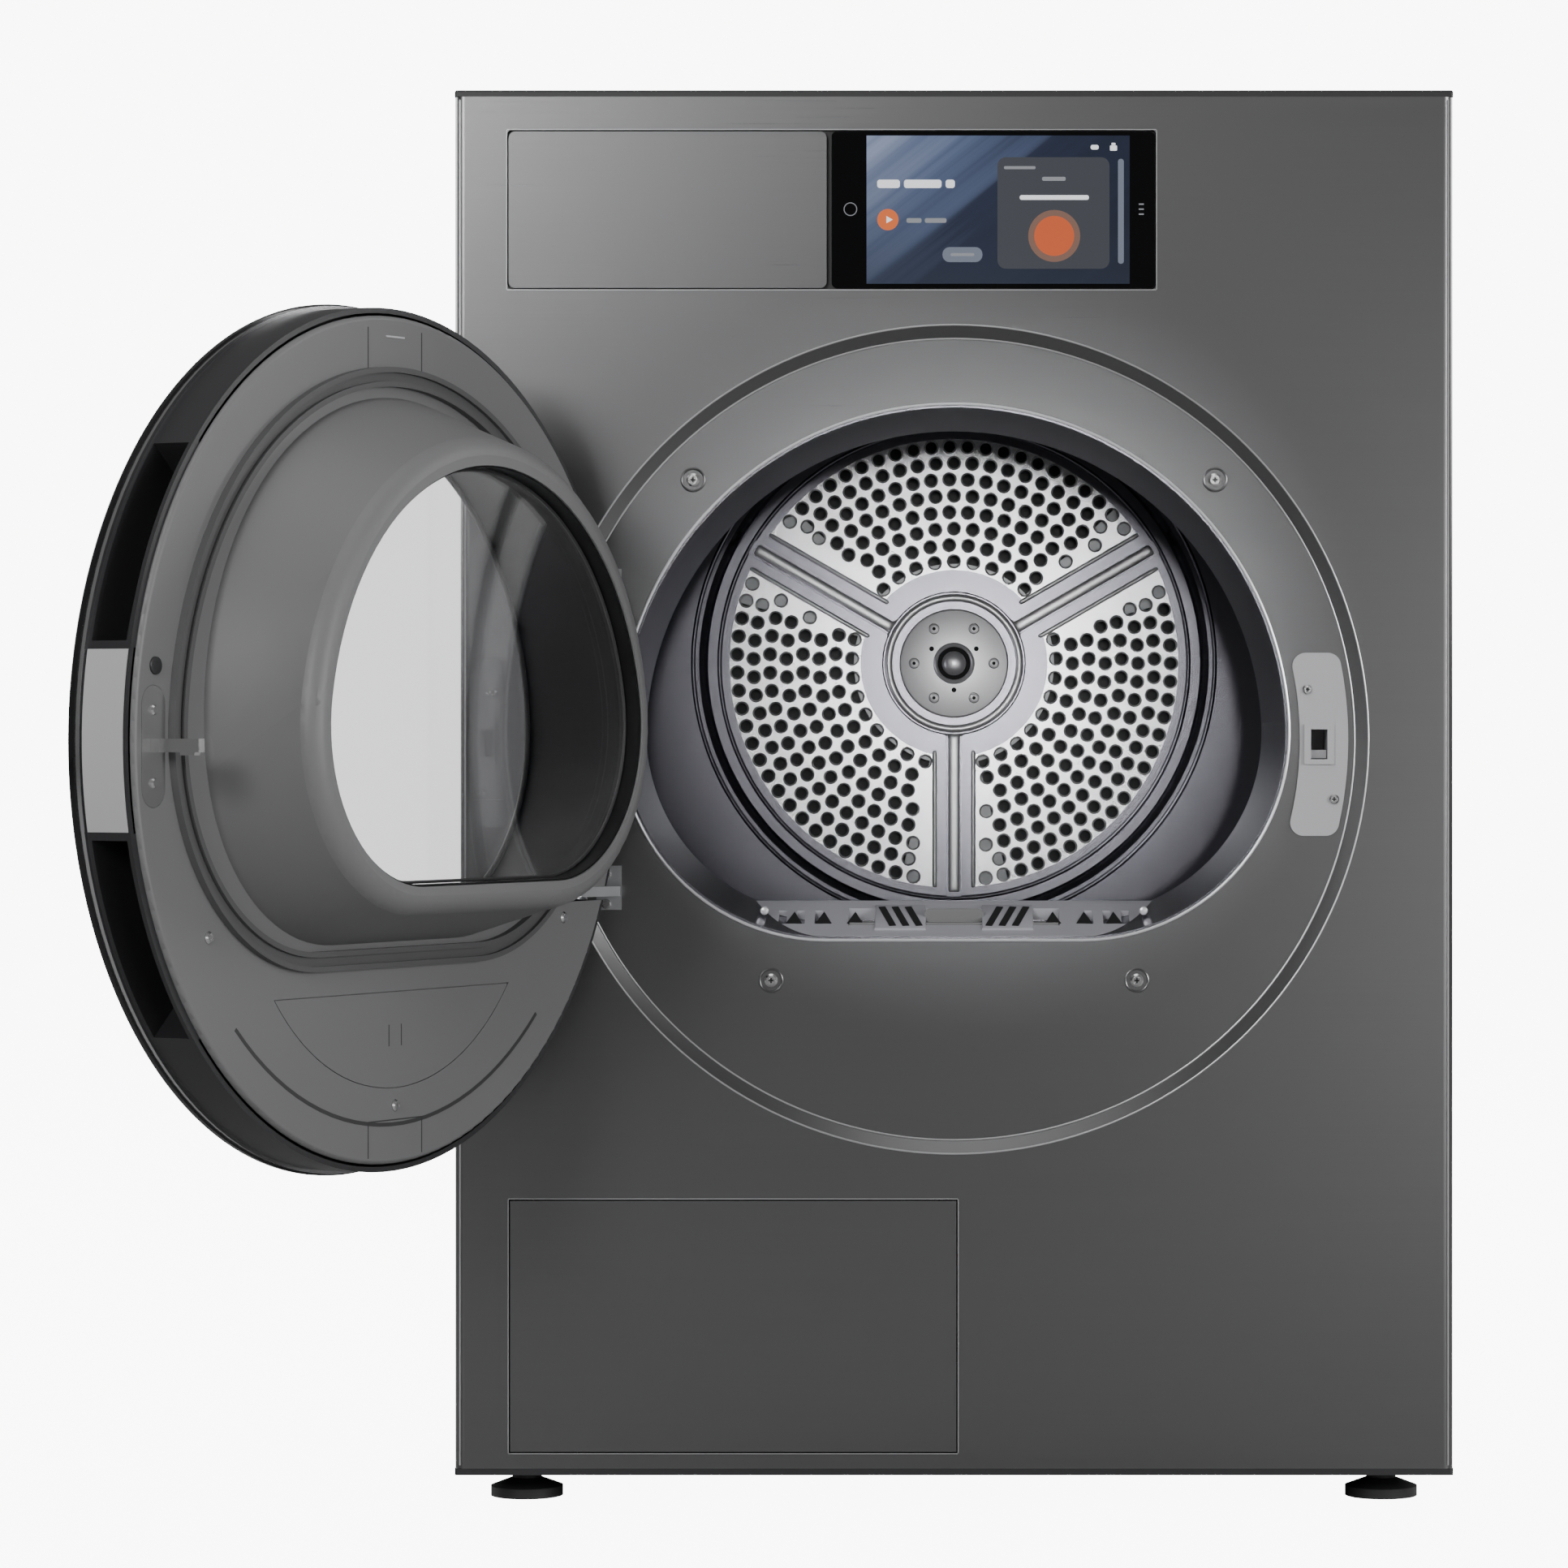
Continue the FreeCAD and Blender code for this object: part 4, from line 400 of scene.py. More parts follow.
finishes = {
    "front": newFinish("brushedFront", (0.17, 0.17, 0.172), 0.29, 1.0, "grain", tone=0.05, bump=0.12,
                       fixed={"Anisotropic": 0.4}),
    "shell": newFinish("shellPaint", (0.12, 0.12, 0.123), 0.42, 0.3, tone=0.04, bump=0.08),
    "lid": newFinish("lidPaint", (0.02, 0.02, 0.021), 0.45, tone=0.06, bump=0.1),
    "zinc": newFinish("zincSheet", (0.42, 0.43, 0.44), 0.4, 0.9, values={"Fineness": 60, "Cloud": 25},
                      tone=0.2),
    "drum": newFinish("drumSteel", (0.16, 0.158, 0.18), 0.24, 1.0, "rings", tone=0.05,
                      roughSpread=0.05, bump=0.05),
    "collar": newFinish("collarSteel", (0.3, 0.3, 0.335), 0.2, 1.0, tone=0.04, bump=0.02),
    "plate": newFinish("grilleSteel", (0.62, 0.62, 0.64), 0.26, 1.0, "rings", tone=0.06, bump=0.04),
    "screw": newFinish("screwSteel", (0.68, 0.68, 0.68), 0.22, 1.0, tone=0.05, bump=0.0),
    "dark": newFinish("darkMould", (0.022, 0.022, 0.024), 0.4, tone=0.1, bump=0.1),
    "liner": newFinish("linerMould", (0.16, 0.16, 0.163), 0.48, tone=0.03, bump=0.06),
    "lip": newFinish("lipMould", (0.37, 0.37, 0.4), 0.35, tone=0.05, bump=0.08),
    "light": newFinish("lightMould", (0.46, 0.46, 0.475), 0.35, tone=0.04, bump=0.06),
    "grip": newFinish("gripMould", (0.5, 0.5, 0.505), 0.4, tone=0.03, bump=0.08),
    "tank": newFinish("tankFrost", (0.72, 0.74, 0.76), 0.35, tone=0.02, bump=0.05),
    "lever": newFinish("leverBlue", (0.06, 0.2, 0.42), 0.3, tone=0.03, bump=0.05),
    "roller": newFinish("rollerWhite", (0.62, 0.62, 0.58), 0.4, tone=0.06, bump=0.08),
    "rim": newFinish("rimSilver", (0.6, 0.6, 0.61), 0.2, 1.0, tone=0.03, bump=0.0),
    "gasket": newFinish("gasketRubber", (0.085, 0.085, 0.087), 0.55, tone=0.1, bump=0.1),
    "rubber": newFinish("sealRubber", (0.02, 0.02, 0.021), 0.6, tone=0.15, bump=0.15),
    "felt": newFinish("sealFelt", (0.3, 0.29, 0.27), 0.95, tone=0.3, bump=0.6, values={"Fineness": 1400}),
    "fins": newFinish("coilFins", (0.7, 0.71, 0.72), 0.35, 1.0, tone=0.08, bump=0.1),
    "enamel": newFinish("blackEnamel", (0.012, 0.012, 0.013), 0.2, tone=0.1, bump=0.04),
    "cast": newFinish("castAluminium", (0.4, 0.41, 0.42), 0.5, 0.9, tone=0.1, bump=0.3),
    "copper": newFinish("copperTube", (0.72, 0.34, 0.2), 0.28, 1.0, tone=0.12, bump=0.05),
    "pump": newFinish("pumpWhite", (0.66, 0.66, 0.63), 0.4, tone=0.05, bump=0.1),
    "board": newFinish("circuitGreen", (0.02, 0.15, 0.05), 0.35, values={"Fineness": 500, "Cloud": 120},
                       tone=0.4),
    "glossy": newFinish("panelGlass", (0.003, 0.003, 0.0035), 0.06, tone=0.05, bump=0.0,
                        fixed={"Specular IOR Level": 0.18}),
    "screen": newFinish("screenPanel", (0.03, 0.04, 0.07), 0.1, tone=0.1, bump=0.0),
    "doorGlass": newFinish("doorGlassBlack", (0.008, 0.008, 0.009), 0.05, tone=0.05, bump=0.0),
    "blackMould": newFinish("blackMould", (0.006, 0.006, 0.0065), 0.65, tone=0.1, bump=0.05,
                            fixed={"Specular IOR Level": 0.15}),
    "seam": newFinish("seamShade", (0.035, 0.035, 0.036), 0.6, tone=0.1, bump=0.0),
    "shade": newFinish("deepShade", (0.008, 0.008, 0.009), 0.7, tone=0.1, bump=0.0),
    # lighter and less metallic than the drum and grille steel round it: painted highlight on the drum star, the
    # hole rims and the opening bead; also the bright finish of the hub dome and lip screws
    "bright": newFinish("pressedSteel", (0.82, 0.82, 0.84), 0.3, 0.6, "rings", tone=0.05, bump=0.03),
    # light lines and beads on the front's folded edges: painted highlight
    "edge": newFinish("foldedEdge", (0.5, 0.5, 0.51), 0.35, 0.7, tone=0.06, bump=0.0),
    "hub": newFinish("hubSteel", (0.84, 0.84, 0.86), 0.32, 0.5, "rings", tone=0.06, bump=0.05),
    "sky": newSky(),
    "orange": newGlow("playOrange", (0.95, 0.2, 0.05), 0.8),
    "glow": newGlow("dialOrange", (0.9, 0.16, 0.05), 0.7),
    "glowRing": newGlow("dialHalo", (0.36, 0.2, 0.15), 0.55),
    "card": newGlow("cardGrey", (0.11, 0.12, 0.145), 0.42),
    "pill": newGlow("pillGrey", (0.2, 0.23, 0.3), 0.8),
    "ink": newGlow("inkWhite", (0.95, 0.96, 1.0), 1.2),
    "dimInk": newGlow("inkGrey", (0.5, 0.52, 0.56), 0.5),
    "window": newFinish("windowClear", (0.93, 0.93, 0.935), 0.02, tone=0.01, roughSpread=0.0, bump=0.0,
                        fixed={"Transmission Weight": 1.0, "IOR": 1.45}),
}

nodeFinish = {
    "front": "front_panel access_flap tank_front",
    "shell": "left_side_panel right_side_panel", "lid": "top_cover",
    "zinc": "back_panel front_bulkhead rear_bulkhead hinge_brackets door_hinge_arm",
    "drum": "drum_shell drum_rear_plate", "collar": "opening_collar", "plate": "drum_grille hub_plate",
    "screw": "drum_shaft front_panel_screws door_screws door_latch shaft_bearing motor_pulley",
    "dark": "door_frame base_tray control_fascia rear_duct_cover power_inlet blower_wheel tank_housing",
    "liner": "door_liner door_service_cap heat_exchanger_cover drum_lifters lint_filter",
    "lip": "lint_filter_housing", "light": "strike_plate strike_latch", "grip": "door_grip",
    "tank": "water_tank", "lever": "cover_lever_left cover_lever_right",
    "roller": "roller_left roller_right idler_wheel", "rim": "door_rim",
    "gasket": "door_gasket", "rubber": "drive_belt levelling_feet", "felt": "front_felt_seal",
    "fins": "evaporator condenser", "enamel": "compressor", "cast": "drive_motor",
    "copper": "refrigerant_pipes", "pump": "condensate_pump", "board": "control_board",
    "glossy": "display_glass", "screen": "display_panel", "doorGlass": "door_outer_glass",
    "window": "door_window",
}
for finishName, names in nodeFinish.items():
    for name in names.split():
        nodes[name].data.materials.clear()
        nodes[name].data.materials.append(finishes[finishName])
bare = set(nodes) - set(" ".join(nodeFinish.values()).split())
if bare:
    raise SystemExit("nodes without a finish: %s" % sorted(bare))
print("finishes ready")


# shaping by hand
def softenEdges(piece, test, width, steps=2):
    # bevel only the edges that pass the test
    hold(piece)
    bpy.ops.object.mode_set(mode="EDIT")
    bpy.ops.mesh.select_mode(type="EDGE")
    bpy.ops.mesh.select_all(action="DESELECT")
    shape = bmesh.from_edit_mesh(piece.data)
    for edge in shape.edges:
        if test(edge):
            edge.select_set(True)
    bmesh.update_edit_mesh(piece.data)
    bpy.ops.mesh.bevel(offset=width, segments=steps, affect="EDGES")
    bpy.ops.object.mode_set(mode="OBJECT")


def frontEdge(y):
    return lambda edge: all(abs(v.co.y - y) < touch for v in edge.verts)


def disc(name, x, z, radius, y0, y1, sides=40, edge=0.0, steps=2):
    # a round piece along Y with its front rim rounded
    free()
    bpy.ops.mesh.primitive_cylinder_add(vertices=sides, radius=radius, depth=y1 - y0,
                                        location=(x, (y0 + y1) / 2, z), rotation=(math.radians(90), 0, 0))
    piece = bpy.context.object
    piece.name = name
    bpy.ops.object.transform_apply(location=True, rotation=True, scale=True)
    if edge:
        softenEdges(piece, frontEdge(y0), edge, steps)
    return piece


def plate(name, x0, x1, y0, y1, z0, z1, corner=0.0):
    # a flat piece, with rounded corners where corner is given
    free()
    bpy.ops.mesh.primitive_cube_add(size=1, location=((x0 + x1) / 2, (y0 + y1) / 2, (z0 + z1) / 2),
                                    scale=(x1 - x0, y1 - y0, z1 - z0))
    piece = bpy.context.object
    piece.name = name
    bpy.ops.object.transform_apply(location=True, rotation=True, scale=True)
    if corner:
        softenEdges(piece, lambda e: abs(e.verts[0].co.y - e.verts[1].co.y) > touch, corner, 5)
    return piece


def copied(piece, name, move=(0, 0, 0), turn=0.0, about=(0, 0, 0)):
    # a copy with its own mesh, turned about the Y axis through a point and then moved
    twin = piece.copy()
    twin.data = piece.data.copy()
    twin.name = name
    bpy.context.collection.objects.link(twin)
    centre = Matrix.Translation(Vector(about))
    twin.data.transform(Matrix.Translation(Vector(move)) @ centre @ Matrix.Rotation(turn, 4, "Y")
                        @ centre.inverted())
    return twin


def merged(pieces, name):
    free()
    for piece in pieces:
        piece.select_set(True)
    bpy.context.view_layer.objects.active = pieces[0]
    bpy.ops.object.join()
    whole = bpy.context.object
    whole.name = name
    return whole


def applied(piece, kind, **settings):
    hold(piece)
    modifier = piece.modifiers.new(kind.lower(), kind)
    for label, value in settings.items():
        setattr(modifier, label, value)
    bpy.ops.object.modifier_apply(modifier=modifier.name)
    return piece


# the D-shaped outline of the opening, the bowl and the window
dSteps = {"arc": 84, "corner": 24, "flat": 12}


def dPoints(shape, inset=0.0):
    # (x, z) round the outline, from the right end of its round part
    big, foot, corner = shape["round"] - inset, shape["flat"] - inset, shape["corner"] - inset
    cx, cz = math.sqrt((big - corner) ** 2 - (foot - corner) ** 2), corner - foot
    side = math.atan2(cz, cx)
    points = []
    for k in range(dSteps["arc"]):
        a = side + (math.pi - 2 * side) * k / dSteps["arc"]
        points.append((big * math.cos(a), big * math.sin(a)))
    turn = side + math.pi / 2
    for k in range(dSteps["corner"]):
        a = math.pi - side + turn * k / dSteps["corner"]
        points.append((-cx + corner * math.cos(a), cz + corner * math.sin(a)))
    for k in range(dSteps["flat"]):
        points.append((-cx + 2 * cx * k / dSteps["flat"], -foot))
    for k in range(dSteps["corner"]):
        a = -math.pi / 2 + turn * k / dSteps["corner"]
        points.append((cx + corner * math.cos(a), cz + corner * math.sin(a)))
    return [(x, ringZ + shape["lift"] + z) for x, z in points]


def dLoop(name, shape, inset, y, fill="NOTHING"):
    # a circle whose points are moved onto the outline
    points = dPoints(shape, inset)
    free()
    bpy.ops.mesh.primitive_circle_add(vertices=len(points), radius=0.1, fill_type=fill)
    piece = bpy.context.object
    piece.name = name
    for vertex, (x, z) in zip(piece.data.vertices, points):
        vertex.co = Vector((x, y, z))
    return piece


def dSkin(name, sections, wall):
    # a thin wall between two outlines, each (shape, inset, y)
    piece = merged([dLoop(name, *section) for section in sections], name)
    bpy.ops.object.mode_set(mode="EDIT")
    bpy.ops.mesh.select_mode(type="EDGE")
    bpy.ops.mesh.select_all(action="SELECT")
    bpy.ops.mesh.bridge_edge_loops()
    bpy.ops.mesh.select_all(action="SELECT")
    bpy.ops.mesh.normals_make_consistent(inside=False)
    bpy.ops.object.mode_set(mode="OBJECT")
    return applied(piece, "SOLIDIFY", thickness=wall, offset=0.0)


def closedD(name, shape, inset, y0, y1):
    # a solid plate of that outline
    piece = dLoop(name, shape, inset, y0, "NGON")
    bpy.ops.object.mode_set(mode="EDIT")
    bpy.ops.mesh.select_all(action="SELECT")
    bpy.ops.mesh.extrude_region_move(TRANSFORM_OT_translate={"value": (0, y1 - y0, 0)})
    bpy.ops.mesh.select_all(action="SELECT")
    bpy.ops.mesh.normals_make_consistent(inside=False)
    bpy.ops.object.mode_set(mode="OBJECT")
    return piece


def dBead(name, shape, inset, y, radius):
    # a thin round bead along the outline
    piece = dLoop(name, shape, inset, y)
    hold(piece)
    bpy.ops.object.convert(target="CURVE")
    piece = bpy.context.object
    piece.data.bevel_depth = radius
    piece.data.bevel_resolution = 2
    bpy.ops.object.convert(target="MESH")
    return bpy.context.object


def hoop(name, x, z, y, radius, thick, around=72, across=8):
    # a round bead about an axis along Y
    free()
    bpy.ops.mesh.primitive_torus_add(major_radius=radius, minor_radius=thick, major_segments=around,
                                     minor_segments=across, location=(x, y, z),
                                     rotation=(math.radians(90), 0, 0))
    piece = bpy.context.object
    piece.name = name
    bpy.ops.object.transform_apply(location=True, rotation=True, scale=True)
    return piece


# door, modelled shut and then turned open about its hinge
door = {"outerRadius": 0.243, "glassThick": 0.004, "glassOut": 0.038, "rimCurve": 0.0015,
        "lining": 0.0008, "sealThick": 0.0016, "windowSealThick": 0.0009,
        "opening": {"round": 0.202, "flat": 0.121, "corner": 0.125, "lift": 0.0},
        "rim": {"round": 0.168, "flat": 0.088, "corner": 0.100, "lift": -0.004},
        "glassEnd": {"round": 0.183, "flat": 0.104, "corner": 0.108, "lift": 0.0},
        "windowLess": 0.013, "windowFace": 0.050, "bowlDepth": 0.066}
hingePlace = Vector(hinge["pos_m"])
doorTurn = Matrix.Rotation(math.radians(-hinge["range_deg"][0]), 4, Vector(hinge["axis"]))
doorOpen = Matrix.Translation(hingePlace) @ doorTurn @ Matrix.Translation(-hingePlace)


def doorPiece(piece, material, smooth=35):
    piece.data.transform(doorOpen)
    return finish(piece, "door", material, smooth)


def buildDoor():
    # a black border with a clear middle takes the place of the plain outer glass
    front = frontY - door["glassOut"]
    back = front + door["glassThick"]
    border = disc("doorGlassBorder", 0, ringZ, door["outerRadius"], front, back, sides=192,
                  edge=door["rimCurve"], steps=3)
    tool = closedD("borderHole", door["glassEnd"], 0.0, front - 0.01, back + 0.01)
    applied(border, "BOOLEAN", object=tool, operation="DIFFERENCE", solver="EXACT")
    bpy.data.objects.remove(tool)
    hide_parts("door_outer_glass")
    doorPiece(border, finishes["doorGlass"])
    middle = closedD("doorGlassMiddle", door["glassEnd"], 0.0002, front + 0.0004, back - 0.0004)
    doorPiece(middle, finishes["window"])

    # black walls of the tunnel behind the window, and its two seals
    near, far = door["rim"], door["glassEnd"]
    face = frontY + door["windowFace"]
    less = door["windowLess"]
    lining = dSkin("tunnelLining", [(near, less - 0.003, face - 0.001), (far, 0.0012, back + 0.0002)],
                   door["lining"])
    doorPiece(lining, finishes["blackMould"])
    bowl = frontY + door["bowlDepth"]
    collar = dSkin("windowCollar", [(near, less + 0.0006, bowl - 0.0012), (near, less + 0.0006, face + 0.0042)],
                   door["lining"])
    doorPiece(collar, finishes["blackMould"])
    tunnelSeal = dBead("tunnelSeal", far, 0.004, back + 0.0022, door["sealThick"])
    doorPiece(tunnelSeal, finishes["rubber"])
    windowSeal = dBead("windowSeal", near, less + 0.0022, face + 0.0050, door["windowSealThick"])
    doorPiece(windowSeal, finishes["rubber"])


def lineBetween(name, a, b, y, width, high):
    # a thin strip from a to b, both (x, z)
    length = math.dist(a, b)
    strip = plate(name, -length / 2, length / 2, y, y + high, -width / 2, width / 2)
    turn = -math.atan2(b[1] - a[1], b[0] - a[0])
    strip.data.transform(Matrix.Translation(Vector(((a[0] + b[0]) / 2, 0, (a[1] + b[1]) / 2)))
                         @ Matrix.Rotation(turn, 4, "Y"))
    return strip


def arcStrip(name, x, z, radius, low, high, y, width, tall):
    # part of a flat ring between two angles, spun from its cross-section
    free()
    bpy.ops.mesh.primitive_plane_add(size=1)
    piece = bpy.context.object
    piece.name = name
    start = math.radians(low)
    for vertex in piece.data.vertices:
        reach, up = radius + vertex.co.x * width, vertex.co.y + 0.5
        vertex.co = Vector((x + reach * math.cos(start), y + up * tall, z + reach * math.sin(start)))
    bpy.ops.object.mode_set(mode="EDIT")
    bpy.ops.mesh.select_all(action="SELECT")
    bpy.ops.mesh.spin(steps=max(6, int(abs(high - low) / 3)), angle=math.radians(high - low), center=(x, 0, z),
                      axis=(0, -1, 0))
    bpy.ops.object.mode_set(mode="OBJECT")
    return piece


seams = {"half": 0.026, "topLow": 0.200, "topHigh": 0.228, "footHigh": -0.211, "footLow": -0.231,
         "width": 0.0007, "sunk": 0.0002, "thick": 0.00035,
         "slotRadius": 0.2135, "slotFrom": -46, "slotTo": 40, "slotWidth": 0.0022,
         "tabAway": 0.006, "tabHigh": -0.158, "tabLow": -0.170, "tabWidth": 0.0006,
         "dash": 0.009, "dashHeight": 0.224, "button": (0.218, 0.039), "buttonRadius": 0.0048}


def buildLinerSeams():
    y, thick, half = frontY - seams["sunk"], seams["thick"], seams["half"]
    top, low = ringZ + seams["topHigh"], ringZ + seams["topLow"]
    high, foot = ringZ + seams["footHigh"], ringZ + seams["footLow"]
    lines = [((-half, low), (half, low)), ((-half, low), (-half, top)), ((half, low), (half, top)),
             ((-half, high), (half, high)), ((-half, high), (-half, foot)), ((half, high), (half, foot))]
    strips = [lineBetween("seam", a, b, y, seams["width"], thick) for a, b in lines]
    strips.append(arcStrip("latchSlot", 0, ringZ, seams["slotRadius"], seams["slotFrom"], seams["slotTo"], y,
                           seams["slotWidth"], thick))
    tabTop, tabFoot = ringZ + seams["tabHigh"], ringZ + seams["tabLow"]
    strips += [lineBetween("tab", (x, tabTop), (x, tabFoot), y, seams["tabWidth"], thick)
               for x in (-seams["tabAway"], seams["tabAway"])]
    doorPiece(merged(strips, "linerSeams"), finishes["seam"])
    middle = ringZ + seams["dashHeight"]
    dash = plate("linerDash", -seams["dash"], seams["dash"], y, frontY + 0.0004, middle - 0.0005,
                 middle + 0.0005, 0.0004)
    doorPiece(dash, finishes["light"])
    x, up = seams["button"]
    button = disc("latchButton", x, ringZ + up, seams["buttonRadius"], y, frontY + 0.0012, sides=28)
    softenEdges(button, frontEdge(frontY + 0.0012), 0.0006)
    doorPiece(button, finishes["dark"])


# drum back
drum = {"starRadius": 0.0455, "starThick": 0.0046, "ribHalf": 0.0052, "ribEnd": 0.159, "ribSoft": 0.003,
        "ridge": 0.0016, "ridgeFrom": 0.060, "ridgeAway": 0.0135, "voxel": 0.0011,
        "holeRadius": 0.004, "holeRow": 0.0114, "holePitch": 0.0126, "holeRim": 0.0006,
        "grilleIn": 0.065, "grilleOut": 0.156, "spokeHalf": 0.015, "spokeFrom": 30, "thirds": 120,
        "beads": ((0.163, 0.0066), (0.181, 0.0008)), "beadThick": 0.0016}
hub = {"radius": 0.0378, "faceBack": 0.009, "edge": 0.0012, "ringRadius": 0.0128, "ringThick": 0.0016,
       "screwRow": 0.0277, "screwRadius": 0.0038, "screwProud": 0.0014, "pitRadius": 0.0013,
       "domeRadius": 0.0085, "domeFlat": 0.42, "wellRadius": 0.0114,
       "dimpleRow": 0.0185, "dimpleRadius": 0.0017, "dimpleTurns": (33, 147, 270)}
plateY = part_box("drum_rear_plate")[0].y
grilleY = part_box("drum_grille")[0].y
hubLow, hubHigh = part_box("hub_plate")


def holePlaces():
    # rows of holes in each third of the grille, clear of the spokes
    rows = int((drum["grilleOut"] - drum["grilleIn"] - 2 * drum["holeRadius"]) / drum["holeRow"]) + 1
    clear = drum["spokeHalf"] + drum["holeRadius"] + 0.001
    for row in range(rows):
        r = drum["grilleIn"] + drum["holeRadius"] + 0.002 + row * drum["holeRow"]
        count = int(2 * math.pi * r / 3 / drum["holePitch"])
        for k in range(3):
            start = drum["spokeFrom"] + drum["thirds"] * k
            for i in range(count):
                a = math.radians(start + (i + 0.5 + 0.25 * (row % 2)) * drum["thirds"] / count)
                away = abs(r * math.sin(a - math.radians(start)))
                other = abs(r * math.sin(math.radians(start + drum["thirds"]) - a))
                if min(away, other) > clear and r + drum["holeRadius"] < drum["grilleOut"] - 0.001:
                    yield r * math.cos(a), drumZ + r * math.sin(a)


def buildGrilleRims():
    # the flared rim of one hole, copied to each, in the lighter steel that paints a highlight round every hole
    radius, thick = drum["holeRadius"] + drum["holeRim"], drum["holeRim"]
    first = hoop("holeRim", 0, 0, grilleY - 0.0001, radius, thick, around=12, across=4)
    rims = [copied(first, "holeRim", (x, 0, z)) for x, z in holePlaces()]
    bpy.data.objects.remove(first)
    finish(merged(rims, "grilleRims"), "drum", finishes["bright"], 60)


def buildStar():
    # a pressed ring round the hub with three ribs, each between two ridges, melted together, in the lighter
    # steel that paints highlights on the star
    front = plateY + 0.002
    back = front + 0.007
    star = [hoop("starRing", 0, drumZ, front + 0.0015, drum["starRadius"], drum["starThick"], 96, 16)]
    for k in range(3):
        turn = math.radians(-(drum["spokeFrom"] + drum["thirds"] * k))
        rib = plate("rib", drum["starRadius"], drum["ribEnd"], front - 0.001, back,
                    drumZ - drum["ribHalf"], drumZ + drum["ribHalf"])
        softenEdges(rib, lambda e: all(v.co.y < front for v in e.verts)
                    and abs(e.verts[0].co.x - e.verts[1].co.x) > 0.01, drum["ribSoft"], 3)
        star.append(copied(rib, "starRib", turn=turn, about=(0, 0, drumZ)))
        bpy.data.objects.remove(rib)
        for way in (-1, 1):
            middle = drumZ + way * drum["ridgeAway"]
            ridge = plate("ridge", drum["ridgeFrom"], drum["ribEnd"] - 0.003, front + 0.001, back,
                          middle - drum["ridge"], middle + drum["ridge"])
            star.append(copied(ridge, "starRidge", turn=turn, about=(0, 0, drumZ)))
            bpy.data.objects.remove(ridge)
    star = merged(star, "drumStar")
    applied(star, "REMESH", mode="VOXEL", voxel_size=drum["voxel"])
    applied(star, "SMOOTH", factor=0.6, iterations=9)
    finish(star, "drum", finishes["bright"], 80)
    beads = [hoop("dishBead", 0, drumZ, plateY + back, r, drum["beadThick"], around=144)
             for r, back in drum["beads"]]
    finish(merged(beads, "dishBeads"), "drum", finishes["drum"], 60)


def roundHub(row, degrees):
    # a place at this radius and angle from the drum's axis
    return row * math.cos(math.radians(degrees)), drumZ + row * math.sin(math.radians(degrees))


def buildHub():
    face = hubLow.y + hub["faceBack"]
    screws = [roundHub(hub["screwRow"], 60 * k) for k in range(6)]
    parts = [disc("hubDisc", 0, drumZ, hub["radius"], face, hubHigh.y, sides=96, edge=hub["edge"], steps=3),
             hoop("hubRing", 0, drumZ, face, hub["ringRadius"], hub["ringThick"], around=64)]
    top = face - hub["screwProud"]
    parts += [disc("hubScrew", x, z, hub["screwRadius"], top, face, sides=20, edge=0.0008) for x, z in screws]
    whole = merged(parts, "hubDisc")
    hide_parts("hub_plate")
    finish(whole, "drum", finishes["hub"], 40)
    free()
    bpy.ops.mesh.primitive_uv_sphere_add(segments=40, ring_count=20, radius=hub["domeRadius"],
                                         location=(0, face, drumZ), scale=(1, hub["domeFlat"], 1))
    dome = bpy.context.object
    dome.name = "hubDome"
    finish(dome, "drum", finishes["bright"], 60)
    well = disc("hubWell", 0, drumZ, hub["wellRadius"], face - 0.0004, face + 0.001, sides=48)
    finish(well, "drum", finishes["shade"])
    dimples = [disc("dimple", x, z, hub["pitRadius"], face - 0.0016, face, sides=6) for x, z in screws]
    for degrees in hub["dimpleTurns"]:
        x, z = roundHub(hub["dimpleRow"], degrees)
        dimples.append(disc("dimple", x, z, hub["dimpleRadius"], face - 0.0003, face + 0.001, sides=16))
    finish(merged(dimples, "hubDimples"), "drum", finishes["shade"])


# opening: bead round its edge and the marks on the lower lip
lip = {"slope": math.radians(18.2), "startY": -0.2738, "startZ": 0.3417, "triangles": (0.060, 0.079, 0.097),
       "triangleRadius": 0.0056, "triangleLong": 2.4, "triangleAt": 0.028,
       "slots": (0.0245, 0.0325, 0.0405), "slotLong": 0.034, "slotHalf": 0.0021, "slotMiddle": 0.031,
       "lean": 12, "padMiddle": 0.0325, "padSize": (0.031, 0.042, 0.0018),
       "screw": (0.115, 0.356), "screwRadius": 0.0026}


def onLip(piece, x, along, turn=0.0):
    # from flat at the origin to a place on the sloping lip
    place = Vector((x, lip["startY"] + along * math.cos(lip["slope"]),
                    lip["startZ"] + along * math.sin(lip["slope"])))
    piece.data.transform(Matrix.Translation(place) @ Matrix.Rotation(lip["slope"], 4, "X")
                         @ Matrix.Rotation(turn, 4, "Z"))
    return piece


